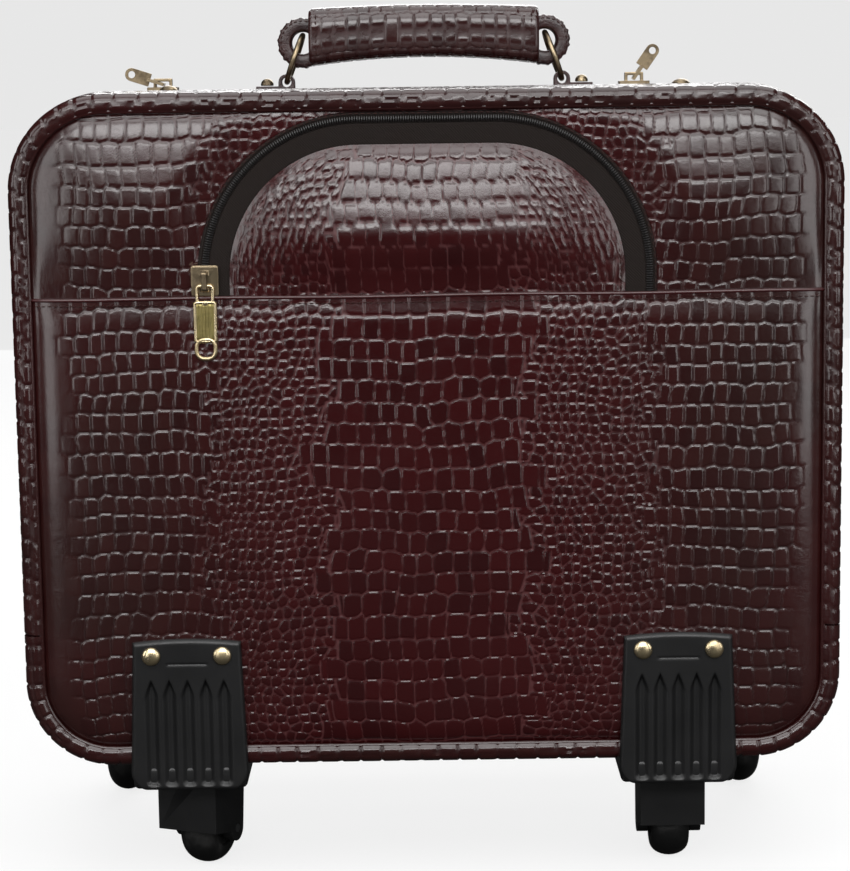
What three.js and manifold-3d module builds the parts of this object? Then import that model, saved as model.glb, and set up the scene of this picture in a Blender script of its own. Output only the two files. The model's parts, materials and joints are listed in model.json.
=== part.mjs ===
// A pilot's upright rolling flight case, in millimetres: X to the right, Y to the back, Z up.
// The case stands on two swivel casters in front and two fixed wheels behind.
// Its upper front wall folds forward, its carry handle hangs on two rings, and a two-stage
// pull handle slides out of its back.
import * as THREE from 'three';
import { mergeVertices } from 'three/addons/utils/BufferGeometryUtils.js';
import Module from 'manifold-3d';

const wasm = await Module();
wasm.setup();

// ---------------------------------------------------------------- sizes
const FIT = 0.3;                 // clearance between pieces that fit or seat
const PAST = 2;                  // how far a cutting tool runs past what it cuts
const SIDES = [['left', -1], ['right', 1]];

// body
const CASE_WIDTH = 430;
const CASE_DEPTH = 210;
const CASE_HEIGHT = 353;
const TOP_RADIUS = 50;
const FOOT_RADIUS = 45;
const WALL = 6;                  // gusset and rim, board and leather together
const FACE = 6;                  // front and back faces
const PAD = 4;                   // padded leather standing on the front face
const EDGE_BAND = 10;            // rolled band round the front face
const PIPING_INSET = 6.5;
const PIPING_WIDTH = 3;
const PIPING_RISE = 2;
const CORNER_STEPS = 6;          // facets of each rounded corner

// main zip and the fold of the front wall
const ZIP_SETBACK = 57;          // from the front face to the zip's middle
const ZIP_TAPE = 3;              // width of each tape
const ZIP_TAPE_THICK = 1.5;
const ZIP_TAPE_SUNK = 0.8;
const ZIP_GAP = 0.6;
const FOLD_ABOVE_GUARD = 4;
const FOLD_GAP = 1;

// arched pocket
const SEAM_BELOW_TOP = 105;
const ARCH_HALF_WIDTH = 119;
const ARCH_BELOW_TOP = 10.5;
const ARCH_RADIUS = 84;
const ARCH_TAPE = 17;
const ARCH_TAPE_THICK = 1.5;
const FLAP_THICK = 3;
const COIL_INSET = 4;            // from the arch's outer edge to its zip coil

// inside
const BOARD = 4;
const DIVIDER_THICK = 5;
const DIVIDER_SETBACK = 48;      // from the back face to the divider's back
const DIVIDER_BELOW_TOP = 92;

// trolley
const TUBE_SPACING = 150;
const TUBE_SETBACK = 18;         // from the back face to the tubes' middle
const TUBE_RADIUS = 8;
const TUBE_WALL = 1;
const SOCKET_HALF_WIDTH = 92;
const SOCKET_DEPTH = 26;
const SOCKET_FLOOR = 5;
const SOCKET_WALL = 3;
const GRIP_HALF_WIDTH = 85;
const GRIP_THICK = 12;
const GRIP_HEIGHT = 18;
const GRIP_SUNK = 1;             // below the case's top
const GRIP_SEAT = 2;             // between the grip and the socket's floor
const STAGE_STEP = 2.4;          // each inner tube starts this much higher
const BUTTON_HALF_LENGTH = 13;
const BUTTON_HALF_WIDTH = 3.5;
const BUTTON_HEIGHT = 7.5;
const BUTTON_TRAVEL = 3;
const BUTTON_PROUD = 0.5;

// carry handle
const HANDLE_Y = 12;
const RING_FOOT_X = 77;
const RING_TOP_X = 67.5;
const RING_RADIUS = 13.7;
const WIRE_RADIUS = 1.5;
const CHAPE_HOLE = 2.8;
const CHAPE_LEATHER = 1.7;
const CHAPE_UNDER = 2.4;
const CHAPE_TAIL = 17;
const CHAPE_TAIL_THICK = 3;
const CHAPE_WIDTH = 10;
const CHAPE_RIVET_X = 88;
const LOOP_RADIUS = 14;
const LOOP_HOLE = 6;
const STRAP_WIDTH = 14;
const STRAP_THICK = 7;
const HANDLE_GRIP_HALF_LENGTH = 64;
const HANDLE_GRIP_DEPTH = 26;
const HANDLE_GRIP_ABOVE = 20;    // of the loops' middle, at the grip's ends
const HANDLE_GRIP_BELOW = 13;
const HANDLE_GRIP_ARCH = 9;      // rise of the underside's control point
const HANDLE_GRIP_CROWN = 3;
const HANDLE_GRIP_ROUND = 4;

// front guards and casters
const GUARD_X = 129.5;
const GUARD_HEIGHT = 80;
const GUARD_CROWN = 3.5;
const GUARD_SOLE = 13;          // from the guard's foot to the body's underside
const GUARD_HALF_TOP = 28.5;
const GUARD_HALF_FOOT = 31.5;
const GUARD_ROUND = 10;
const GUARD_PLATE = 4;
const GUARD_DEPTH = 74;          // from the plate's back to the rear of the sole
const FLUTES = 5;
const FLUTE_PITCH = 9.6;
const FLUTE_WIDTH = 6;
const FLUTE_DEPTH = 1.5;
const FLUTE_START = 6;           // above the guard's foot
const FLUTE_END = 24;            // below the guard's top
const GUARD_RIVET_X = 18.7;
const GUARD_RIVET_DROP = 7;      // below the guard's top
const CASTER_SETBACK = 35;
const CASTER_RADIUS = 20;
const CASTER_WIDTH = 21;
const CASTER_TRAIL = 12;
const CASTER_TURN = { left: -22, right: 0 };   // degrees about the swivel axis, as it stands
const FORK_WIDTH = 35;
const FORK_EAR = 6;
const FORK_HUB = 7;
const FORK_FRONT = 14;
const FORK_HOOD = 3.5;           // thickness of the hood over the front of the wheel
const FORK_HOOD_RISE = 4;        // of the hood's foot above the wheel's middle
const CASTER_CLEARANCE = 3.5;    // between the wheel and the crown
const FORK_CROWN = 6.5;
const FORK_DISC_RISE = 6;
const FORK_DISC = 15;
const STEM_RADIUS = 5;
const STEM_SUNK = 3;             // below the top of the guard's sole
const CASTER_AXLE = 2.5;

// rear wheels
const WHEEL_X = 187;
const WHEEL_GAP = 9;             // between the rear wheel and the body
const WHEEL_WIDTH = 22;
const WHEEL_SETBACK = 20;        // from the back face to the axle
const WHEEL_AXLE = 3;
const HOUSING_CHEEK = 3.7;
const HOUSING_FRONT = 37;        // ahead of the axle
const HOUSING_BACK = 27;         // behind the axle
const HOUSING_RISE = 49;         // above the body's underside
const HOUSING_PLATE = 4;         // thickness behind the back face

// rivets, studs and zip hardware
const RIVET_RADIUS = 5;
const RIVET_RISE = 2.5;
const RIVET_SHANK = 1.8;
const RIVET_LENGTH = 7;
const SMALL_RIVET = 3.6;
const STUD_X = 134;
const STUD_SETBACK = 27;
const SLIDER_LENGTH = 16;
const SLIDER_WIDTH = 14;
const SLIDER_THICK = 3;
const POCKET_SLIDER_RISE = 9;    // above the seam
const BAIL_LENGTH = 10;
const BAIL_WIDTH = 3;
const BAIL_WIRE = 1.6;
const BAIL_RISE = 4.6;
const PULL_THICK = 1.6;
const PULL_LENGTH = 39;
const PULL_HALF_WIDTH = 6;
const MAIN_SLIDER_X = { left: -140, right: 112 };
const MAIN_PULL_LEAN = { left: -72, right: 35 };
const MAIN_PULL_LENGTH = 21;
const MAIN_PULL_HALF_WIDTH = 3.5;

// ---------------------------------------------------------------- places worked out
const FORK_CROWN_FOOT = 2 * CASTER_RADIUS + CASTER_CLEARANCE;
const FORK_CROWN_TOP = FORK_CROWN_FOOT + FORK_CROWN;
const GUARD_FOOT = FORK_CROWN_TOP + FORK_DISC_RISE;
const GUARD_TOP = GUARD_FOOT + GUARD_HEIGHT;
const GUARD_RIVET_Z = GUARD_TOP - GUARD_RIVET_DROP;
const CASE_FOOT = GUARD_FOOT + GUARD_SOLE;
const CASE_TOP = CASE_FOOT + CASE_HEIGHT;
const STEM_TOP = CASE_FOOT - STEM_SUNK;
const FLUTE_FOOT = GUARD_FOOT + FLUTE_START;
const FLUTE_TOP = GUARD_TOP - FLUTE_END;
const FOLD_HEIGHT = GUARD_TOP + FOLD_ABOVE_GUARD;
const SEAM_HEIGHT = CASE_TOP - SEAM_BELOW_TOP;
const ARCH_TOP = CASE_TOP - ARCH_BELOW_TOP;
const DIVIDER_TOP = CASE_TOP - DIVIDER_BELOW_TOP;
const POCKET_SLIDER_Z = SEAM_HEIGHT + POCKET_SLIDER_RISE;
const WHEEL_RADIUS = (CASE_FOOT - WHEEL_GAP) / 2;
const HOUSING_TOP = CASE_FOOT + HOUSING_RISE;
const FRONT = -CASE_DEPTH / 2;
const BACK = CASE_DEPTH / 2;
const HALF = CASE_WIDTH / 2;
const ZIP_Y = FRONT + ZIP_SETBACK;
const RIM_BACK = ZIP_Y - ZIP_TAPE;
const GUSSET_FRONT = ZIP_Y + ZIP_TAPE;
const WALL_FOOT = FOLD_HEIGHT + FOLD_GAP / 2;
const BASE_TOP = FOLD_HEIGHT - FOLD_GAP / 2;
const FLOOR_TOP = CASE_FOOT + WALL + FIT + BOARD;
const SOCKET_FRONT = BACK - FACE - FIT - SOCKET_DEPTH + 2;
const TUBE_Y = BACK - TUBE_SETBACK;
const GRIP_TOP = CASE_TOP - GRIP_SUNK;
const GRIP_FOOT = GRIP_TOP - GRIP_HEIGHT;
const SOCKET_FOOT = GRIP_FOOT - GRIP_SEAT - SOCKET_FLOOR;
const CHAPE_FOOT = CASE_TOP + FIT;
const RING_FOOT_Z = CHAPE_FOOT + CHAPE_UNDER + CHAPE_HOLE;
const RING_LEAN = Math.asin((RING_FOOT_X - RING_TOP_X) / (2 * RING_RADIUS));
const RING_TOP_Z = RING_FOOT_Z + 2 * RING_RADIUS * Math.cos(RING_LEAN);
const LOOP_Z = RING_TOP_Z - (LOOP_HOLE - WIRE_RADIUS - FIT);
const GUARD_BACK = FRONT - PAD - FIT;
const GUARD_FACE = GUARD_BACK - GUARD_PLATE;
const CASTER_Y = FRONT + CASTER_SETBACK;
const WHEEL_Y = BACK - WHEEL_SETBACK;
const TAPE_FACE = FRONT - ARCH_TAPE_THICK;

// ---------------------------------------------------------------- solids
const round = (degrees) => THREE.MathUtils.degToRad(degrees);

// A closed solid for cutting and joining, from a geometry.
function solidOf(geometry) {
  const bare = geometry.clone();
  bare.deleteAttribute('normal');
  bare.deleteAttribute('uv');
  const merged = mergeVertices(bare);
  return new wasm.Manifold(new wasm.Mesh({
    numProp: 3,
    vertProperties: Float32Array.from(merged.attributes.position.array),
    triVerts: Uint32Array.from(merged.index.array),
  }));
}

function geometryOf(solid) {
  const mesh = solid.getMesh();
  const geometry = new THREE.BufferGeometry();
  geometry.setAttribute('position', new THREE.BufferAttribute(Float32Array.from(mesh.vertProperties), 3));
  geometry.setIndex(new THREE.BufferAttribute(Uint32Array.from(mesh.triVerts), 1));
  return geometry;
}

function cut(body, ...tools) {
  return geometryOf(tools.reduce((left, tool) => left.subtract(solidOf(tool)), solidOf(body)));
}

function join(body, ...others) {
  return geometryOf(others.reduce((whole, other) => whole.add(solidOf(other)), solidOf(body)));
}

function common(body, other) {
  return geometryOf(solidOf(body).intersect(solidOf(other)));
}

function box(x0, x1, y0, y1, z0, z1) {
  const geometry = new THREE.BoxGeometry(x1 - x0, y1 - y0, z1 - z0);
  return geometry.translate((x0 + x1) / 2, (y0 + y1) / 2, (z0 + z1) / 2);
}

// An outline drawn in X and Z, filled from yFront to yBack.
function slab(shape, yFront, yBack, steps = CORNER_STEPS) {
  const options = { depth: yBack - yFront, bevelEnabled: false, curveSegments: steps };
  return new THREE.ExtrudeGeometry(shape, options).rotateX(Math.PI / 2).translate(0, yBack, 0);
}

// An outline drawn in Y and Z, filled from x0 to x1.
function cheek(shape, x0, x1, steps = CORNER_STEPS) {
  const settings = { depth: x1 - x0, bevelEnabled: false, curveSegments: steps };
  const geometry = new THREE.ExtrudeGeometry(shape, settings);
  const turn = new THREE.Matrix4().makeBasis(
    new THREE.Vector3(0, 1, 0), new THREE.Vector3(0, 0, 1), new THREE.Vector3(1, 0, 0));
  return geometry.applyMatrix4(turn).translate(x0, 0, 0);
}

// An outline drawn in X and Y, filled from z0 to z1.
function block(shape, z0, z1, steps = CORNER_STEPS) {
  const options = { depth: z1 - z0, bevelEnabled: false, curveSegments: steps };
  return new THREE.ExtrudeGeometry(shape, options).translate(0, 0, z0);
}

const ALONG = {
  x: (geometry) => geometry.rotateZ(-Math.PI / 2),
  y: (geometry) => geometry,
  z: (geometry) => geometry.rotateX(Math.PI / 2),
};

// A cylinder from `start` to `end` along an axis, through the point (a, b) of the other two axes.
function rod(axis, radius, start, end, a, b, facets = 16) {
  const geometry = ALONG[axis](new THREE.CylinderGeometry(radius, radius, end - start, facets));
  const middle = (start + end) / 2;
  if (axis === 'x') {
    return geometry.translate(middle, a, b);
  }
  if (axis === 'y') {
    return geometry.translate(a, middle, b);
  }
  return geometry.translate(a, b, middle);
}

// A turned solid: profile points are [radius, distance along the axis].
function turned(axis, profile, facets = 24) {
  const points = profile.map(([radius, along]) => new THREE.Vector2(radius, along));
  const geometry = ALONG[axis](new THREE.LatheGeometry(points, facets));
  return solidOf(geometry).volume() > 0 ? geometry : flipped(geometry);
}

function flipped(geometry) {
  const index = Array.from(geometry.index.array);
  for (let corner = 0; corner < index.length; corner += 3) {
    [index[corner], index[corner + 1]] = [index[corner + 1], index[corner]];
  }
  geometry.setIndex(index);
  return geometry;
}

function tube(outer, inner, z0, z1) {
  const profile = [[inner, z0], [outer, z0], [outer, z1], [inner, z1], [inner, z0]];
  return turned('z', profile, 16);
}

// A rivet whose head stands on `seat`, with its shank below; it points along +Y or +Z.
function rivet(axis, radius, rise) {
  const profile = [[0, -RIVET_LENGTH], [RIVET_SHANK, -RIVET_LENGTH], [RIVET_SHANK, 0], [radius, 0]];
  const steps = 4;
  for (let step = 1; step < steps; step += 1) {
    const turn = (step / steps) * (Math.PI / 2);
    profile.push([radius * Math.cos(turn), rise * Math.sin(turn)]);
  }
  profile.push([0, rise]);
  return turned(axis, profile, 16);
}

function wheel(radius, width, bore, crown) {
  const half = width / 2;
  const profile = [[bore, -half]];
  const steps = 8;
  for (let step = 0; step <= steps; step += 1) {
    const turn = (step / steps - 0.5) * Math.PI;
    profile.push([radius - crown + crown * Math.cos(turn), half * Math.sin(turn)]);
  }
  profile.push([bore, half], [bore, -half]);
  return turned('x', profile, 24);
}

// ---------------------------------------------------------------- outlines
// The body's outline, moved in by `inset`, between the heights zLow and zHigh.
// Either may be left out, and then that end is the body's own rounded one.
function outline(inset, zLow, zHigh) {
  const half = HALF - inset;
  const top = CASE_TOP - inset;
  const foot = CASE_FOOT + inset;
  const topRound = TOP_RADIUS - inset;
  const footRound = FOOT_RADIUS - inset;
  const shape = new THREE.Shape();
  if (zLow === undefined) {
    shape.moveTo(-half + footRound, foot);
    shape.lineTo(half - footRound, foot);
    shape.absarc(half - footRound, foot + footRound, footRound, -Math.PI / 2, 0);
  } else {
    shape.moveTo(-half, zLow);
    shape.lineTo(half, zLow);
  }
  if (zHigh === undefined) {
    shape.lineTo(half, top - topRound);
    shape.absarc(half - topRound, top - topRound, topRound, 0, Math.PI / 2);
    shape.lineTo(-half + topRound, top);
    shape.absarc(-half + topRound, top - topRound, topRound, Math.PI / 2, Math.PI);
  } else {
    shape.lineTo(half, zHigh);
    shape.lineTo(-half, zHigh);
  }
  if (zLow === undefined) {
    shape.lineTo(-half, foot + footRound);
    shape.absarc(-half + footRound, foot + footRound, footRound, Math.PI, Math.PI * 1.5);
  }
  shape.closePath();
  return shape;
}

// The pocket's arch, moved in by `inset`, standing on zLow.
function arch(inset, zLow) {
  const half = ARCH_HALF_WIDTH - inset;
  const top = ARCH_TOP - inset;
  const corner = ARCH_RADIUS - inset;
  const shape = new THREE.Shape();
  shape.moveTo(-half, zLow);
  shape.lineTo(half, zLow);
  shape.lineTo(half, top - corner);
  shape.absarc(half - corner, top - corner, corner, 0, Math.PI / 2);
  shape.lineTo(-half + corner, top);
  shape.absarc(-half + corner, top - corner, corner, Math.PI / 2, Math.PI);
  shape.closePath();
  return shape;
}

// ---------------------------------------------------------------- materials
const leather = () => new THREE.MeshStandardMaterial({ color: 0x46201e, roughness: 0.35, metalness: 0 });
const cloth = () => new THREE.MeshStandardMaterial({ color: 0x241d1b, roughness: 0.9, metalness: 0 });
const board = () => new THREE.MeshStandardMaterial({ color: 0x4a4038, roughness: 0.9, metalness: 0 });
const brass = () => new THREE.MeshStandardMaterial({ color: 0xb59a62, roughness: 0.3, metalness: 1 });
const oldBrass = () => new THREE.MeshStandardMaterial({ color: 0x7d6a45, roughness: 0.4, metalness: 1 });
const plastic = () => new THREE.MeshStandardMaterial({ color: 0x171717, roughness: 0.45, metalness: 0 });
const rubber = () => new THREE.MeshStandardMaterial({ color: 0x141414, roughness: 0.7, metalness: 0 });
const aluminium = () => new THREE.MeshStandardMaterial({ color: 0xb9bbbd, roughness: 0.35, metalness: 1 });
const steel = () => new THREE.MeshStandardMaterial({ color: 0x8d8f92, roughness: 0.4, metalness: 1 });

const flightCase = new THREE.Group();

function add(name, geometry, material, parent = flightCase) {
  const mesh = new THREE.Mesh(geometry, material);
  mesh.name = name;
  parent.add(mesh);
  return mesh;
}

// ---------------------------------------------------------------- body
function gusset() {
  const ring = cut(slab(outline(0), GUSSET_FRONT, BACK - FACE),
    slab(outline(WALL), GUSSET_FRONT - PAST, BACK));
  const opening = box(-SOCKET_HALF_WIDTH - FIT, SOCKET_HALF_WIDTH + FIT,
    SOCKET_FRONT - FIT, BACK, CASE_TOP - WALL - PAST, CASE_TOP + PAST);
  return cut(ring, opening);
}

function frontBase() {
  const shell = cut(slab(outline(0, undefined, BASE_TOP), FRONT, GUSSET_FRONT),
    slab(outline(WALL, undefined, BASE_TOP + PAST), FRONT + FACE, GUSSET_FRONT + PAST));
  const padded = join(shell, slab(outline(EDGE_BAND, undefined, BASE_TOP), FRONT - PAD, FRONT + 1));
  const holes = [];
  for (const [, side] of SIDES) {
    for (const across of [-GUARD_RIVET_X, GUARD_RIVET_X]) {
      const x = side * GUARD_X + across;
      holes.push(rod('y', RIVET_SHANK + FIT, FRONT - PAD - PAST, FRONT + 1, x, GUARD_RIVET_Z));
    }
  }
  return cut(padded, ...holes);
}

function frontRim() {
  const shell = cut(slab(outline(0, WALL_FOOT), FRONT, RIM_BACK),
    slab(outline(WALL, WALL_FOOT - PAST), FRONT + FACE, RIM_BACK + PAST),
    slab(outline(EDGE_BAND, WALL_FOOT - PAST), FRONT - PAST, FRONT + FACE + PAST));
  const holes = SIDES.map(([, side]) => rod('z', RIVET_SHANK + FIT, CASE_TOP - WALL - PAST, CASE_TOP + PAST,
    side * STUD_X, FRONT + STUD_SETBACK));
  return cut(shell, ...holes);
}

function piping(zLow, zHigh, yFront, yBack) {
  const lowTool = zLow === undefined ? undefined : zLow - PAST;
  const highTool = zHigh === undefined ? undefined : zHigh + PAST;
  return cut(slab(outline(PIPING_INSET, zLow, zHigh), yFront, yBack),
    slab(outline(PIPING_INSET + PIPING_WIDTH, lowTool, highTool), yFront - PAST, yBack + PAST));
}

function zipTape(yFront, yBack) {
  return cut(slab(outline(ZIP_TAPE_SUNK, WALL_FOOT), yFront, yBack),
    slab(outline(ZIP_TAPE_SUNK + ZIP_TAPE_THICK, WALL_FOOT - PAST), yFront - PAST, yBack + PAST));
}

// A board that fills the body's inside between two heights.
function insideBoard(yFront, yBack, zLow, zHigh) {
  const full = slab(outline(WALL + FIT), yFront, yBack);
  return common(full, box(-HALF, HALF, yFront - PAST, yBack + PAST, zLow, zHigh));
}

add('back_panel', slab(outline(0), BACK - FACE, BACK), leather());
add('rear_gusset', gusset(), leather());
add('front_base', frontBase(), leather());
add('rear_piping', piping(undefined, undefined, BACK, BACK + PIPING_RISE), leather());
add('front_piping_lower', piping(undefined, BASE_TOP, FRONT - PIPING_RISE, FRONT), leather());
add('zip_tape_rear', zipTape(ZIP_Y + ZIP_GAP / 2, GUSSET_FRONT), cloth());
add('base_board', box(-HALF + FOOT_RADIUS, HALF - FOOT_RADIUS, FRONT + FACE + FIT, BACK - FACE - FIT,
  CASE_FOOT + WALL + FIT, FLOOR_TOP), board());
add('inner_back_wall', insideBoard(SOCKET_FRONT - FIT - BOARD, SOCKET_FRONT - FIT,
  FLOOR_TOP + FIT, CASE_TOP), cloth());
add('laptop_divider', insideBoard(BACK - DIVIDER_SETBACK - DIVIDER_THICK, BACK - DIVIDER_SETBACK,
  FLOOR_TOP + FIT, DIVIDER_TOP), cloth());

// ---------------------------------------------------------------- upper front wall
function pocketTape() {
  return cut(slab(arch(0, SEAM_HEIGHT + FIT), TAPE_FACE, FRONT),
    slab(arch(ARCH_TAPE, SEAM_HEIGHT - PAST), TAPE_FACE - PAST, FRONT + PAST));
}

add('front_rim', frontRim(), leather());
add('front_panel', slab(outline(EDGE_BAND + FIT, WALL_FOOT), FRONT, FRONT + FACE), leather());
add('front_piping_upper', piping(WALL_FOOT, undefined, FRONT - PIPING_RISE, FRONT), leather());
add('zip_tape_front', zipTape(RIM_BACK, ZIP_Y - ZIP_GAP / 2), cloth());
add('pocket_panel', slab(outline(EDGE_BAND, WALL_FOOT, SEAM_HEIGHT), FRONT - PAD, FRONT), leather());
add('pocket_zip_tape', pocketTape(), cloth());
add('pocket_flap', slab(arch(ARCH_TAPE + FIT, SEAM_HEIGHT + FIT), FRONT - FLAP_THICK, FRONT), leather());
for (const [name, side] of SIDES) {
  const stud = rivet('z', RIVET_RADIUS, RIVET_RISE);
  stud.translate(side * STUD_X, FRONT + STUD_SETBACK, CASE_TOP + FIT);
  add(`top_stud_${name}`, stud, oldBrass());
}

// ---------------------------------------------------------------- zip sliders and pulls
// The pocket's slider lies on its tape; its bail is a bridge that the pull's loop goes under.
function pocketSlider() {
  const plate = box(-SLIDER_WIDTH / 2, SLIDER_WIDTH / 2, -SLIDER_THICK, 0,
    -SLIDER_LENGTH / 2, SLIDER_LENGTH / 2);
  const bridge = box(-BAIL_WIDTH / 2, BAIL_WIDTH / 2, -SLIDER_THICK - BAIL_RISE, -SLIDER_THICK + 1,
    -BAIL_LENGTH / 2, BAIL_LENGTH / 2);
  const way = box(-SLIDER_WIDTH, SLIDER_WIDTH, -SLIDER_THICK - BAIL_RISE + BAIL_WIRE, -SLIDER_THICK,
    -BAIL_LENGTH / 2 + BAIL_WIRE, BAIL_LENGTH / 2 - BAIL_WIRE);
  return join(plate, cut(bridge, way));
}

// A cast pull hanging from its loop's bar at the origin: loop, ribbed plate, open eye.
function pocketPull() {
  const bar = PULL_THICK / 2;
  const loopHalf = 4.9;
  const loopEnd = -9.5;
  const shape = new THREE.Shape();
  shape.moveTo(-loopHalf, bar);
  shape.lineTo(-loopHalf, loopEnd);
  shape.lineTo(-PULL_HALF_WIDTH, loopEnd - 2);
  shape.absarc(0, -PULL_LENGTH + PULL_HALF_WIDTH, PULL_HALF_WIDTH, Math.PI, Math.PI * 2);
  shape.lineTo(PULL_HALF_WIDTH, loopEnd - 2);
  shape.lineTo(loopHalf, loopEnd);
  shape.lineTo(loopHalf, bar);
  shape.closePath();
  const plate = slab(shape, -PULL_THICK / 2, PULL_THICK / 2);
  const eye = rod('y', 3.4, -PAST, PAST, 0, -PULL_LENGTH + PULL_HALF_WIDTH);
  const loop = box(-loopHalf + PULL_THICK, loopHalf - PULL_THICK, -PAST, PAST, loopEnd + 0.5, -bar);
  return cut(plate, eye, loop);
}

// A main slider straddles the zip; its front half stands clear of the tape that folds away.
function mainSlider() {
  const lift = 1.9;
  const plate = box(-SLIDER_LENGTH / 2, SLIDER_LENGTH / 2, -SLIDER_WIDTH / 2 + 1, SLIDER_WIDTH / 2 - 1,
    lift, SLIDER_THICK + 1);
  const keel = box(-SLIDER_LENGTH / 2, SLIDER_LENGTH / 2, ZIP_GAP, SLIDER_WIDTH / 2 - 4.5, 0, lift + 1);
  const top = SLIDER_THICK + 1;
  const bridge = box(-BAIL_LENGTH / 2, BAIL_LENGTH / 2, -BAIL_WIDTH / 2, BAIL_WIDTH / 2,
    top - 1, top + BAIL_RISE);
  const way = box(-BAIL_LENGTH / 2 + BAIL_WIRE, BAIL_LENGTH / 2 - BAIL_WIRE, -SLIDER_WIDTH, SLIDER_WIDTH,
    top, top + BAIL_RISE - BAIL_WIRE);
  return join(join(plate, keel), cut(bridge, way));
}

// A main pull stands on its loop's bar at the origin; its plate is turned a quarter from the loop.
function mainPull() {
  const half = 4.6;
  const loopTop = 8.3;
  const wire = PULL_THICK / 2;
  const loop = cut(box(-wire, wire, -half, half, -wire, loopTop),
    box(-PAST, PAST, -half + PULL_THICK, half - PULL_THICK, wire, loopTop - PULL_THICK));
  const shape = new THREE.Shape();
  shape.moveTo(-MAIN_PULL_HALF_WIDTH, loopTop - 1);
  shape.lineTo(MAIN_PULL_HALF_WIDTH, loopTop - 1);
  shape.lineTo(MAIN_PULL_HALF_WIDTH, MAIN_PULL_LENGTH - MAIN_PULL_HALF_WIDTH);
  shape.absarc(0, MAIN_PULL_LENGTH - MAIN_PULL_HALF_WIDTH, MAIN_PULL_HALF_WIDTH, 0, Math.PI);
  shape.closePath();
  const eye = rod('y', 1.9, -PAST, PAST, 0, MAIN_PULL_LENGTH - MAIN_PULL_HALF_WIDTH);
  return join(loop, cut(slab(shape, -wire, wire), eye));
}

const coilX = -(ARCH_HALF_WIDTH - COIL_INSET);
const pocketSliderY = TAPE_FACE - FIT;
const bailMiddle = SLIDER_THICK + (BAIL_RISE - BAIL_WIRE) / 2;
add('pocket_slider', pocketSlider().translate(coilX, pocketSliderY, POCKET_SLIDER_Z), oldBrass());
const pocketPullZ = POCKET_SLIDER_Z - BAIL_LENGTH / 2 + BAIL_WIRE + PULL_THICK / 2 + FIT;
add('pocket_pull', pocketPull().translate(coilX, pocketSliderY - bailMiddle, pocketPullZ), brass());
const mainSliderZ = CASE_TOP - ZIP_TAPE_SUNK + FIT;
for (const [name] of SIDES) {
  const x = MAIN_SLIDER_X[name];
  add(`main_slider_${name}`, mainSlider().translate(x, ZIP_Y, mainSliderZ), oldBrass());
  const pull = mainPull().rotateY(round(MAIN_PULL_LEAN[name]));
  add(`main_pull_${name}`, pull.translate(x, ZIP_Y, mainSliderZ + 1 + bailMiddle), oldBrass());
}

// ---------------------------------------------------------------- carry handle
function chape(side) {
  const x = side * RING_FOOT_X;
  const radius = CHAPE_HOLE + CHAPE_LEATHER;
  const y0 = HANDLE_Y - CHAPE_WIDTH / 2;
  const y1 = HANDLE_Y + CHAPE_WIDTH / 2;
  const tail = x + side * CHAPE_TAIL;
  const roll = rod('y', radius, y0, y1, x, RING_FOOT_Z);
  const saddle = box(x - radius, x + radius, y0, y1, CHAPE_FOOT, RING_FOOT_Z);
  const tongue = box(Math.min(x, tail), Math.max(x, tail), y0, y1, CHAPE_FOOT, CHAPE_FOOT + CHAPE_TAIL_THICK);
  const hole = rod('y', CHAPE_HOLE, y0 - PAST, y1 + PAST, x, RING_FOOT_Z);
  const rivetHole = rod('z', RIVET_SHANK + FIT, CHAPE_FOOT - PAST, CASE_TOP + 2 * PAST,
    side * CHAPE_RIVET_X, HANDLE_Y);
  return cut(join(roll, saddle, tongue), hole, rivetHole);
}

function ring(side) {
  const turn = -(Math.PI / 2 + side * RING_LEAN);
  const torus = new THREE.TorusGeometry(RING_RADIUS, WIRE_RADIUS, 8, 28).rotateY(turn);
  const middleX = side * (RING_FOOT_X + RING_TOP_X) / 2;
  return torus.translate(middleX, HANDLE_Y, (RING_FOOT_Z + RING_TOP_Z) / 2);
}

// The strap: a loop round each ring and the flat core between them. `grow` swells it for a clearance.
function strap(grow, filled) {
  const y0 = HANDLE_Y - STRAP_WIDTH / 2 - grow;
  const y1 = HANDLE_Y + STRAP_WIDTH / 2 + grow;
  const core = box(-RING_TOP_X, RING_TOP_X, y0, y1, LOOP_Z - grow, LOOP_Z + STRAP_THICK + grow);
  const loops = SIDES.map(([, side]) => rod('y', LOOP_RADIUS + grow, y0, y1, side * RING_TOP_X, LOOP_Z, 20));
  const whole = join(core, ...loops);
  if (filled) {
    return whole;
  }
  const holes = SIDES.map(([, side]) => rod('y', LOOP_HOLE, y0 - PAST, y1 + PAST,
    side * RING_TOP_X, LOOP_Z, 20));
  return cut(whole, ...holes);
}

function handleGrip() {
  const half = HANDLE_GRIP_HALF_LENGTH - HANDLE_GRIP_ROUND;
  const foot = LOOP_Z - HANDLE_GRIP_BELOW + HANDLE_GRIP_ROUND;
  const top = LOOP_Z + HANDLE_GRIP_ABOVE - HANDLE_GRIP_ROUND;
  const shape = new THREE.Shape();
  shape.moveTo(-half, foot);
  shape.quadraticCurveTo(0, foot + HANDLE_GRIP_ARCH, half, foot);
  shape.lineTo(half, top);
  shape.quadraticCurveTo(0, top + HANDLE_GRIP_CROWN, -half, top);
  shape.closePath();
  const rounded = new THREE.ExtrudeGeometry(shape, {
    depth: HANDLE_GRIP_DEPTH - 2 * HANDLE_GRIP_ROUND,
    bevelThickness: HANDLE_GRIP_ROUND,
    bevelSize: HANDLE_GRIP_ROUND,
    bevelSegments: 2,
    curveSegments: 8,
  });
  rounded.rotateX(Math.PI / 2).translate(0, HANDLE_Y + HANDLE_GRIP_DEPTH / 2 - HANDLE_GRIP_ROUND, 0);
  return cut(rounded, strap(FIT, true));
}

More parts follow.
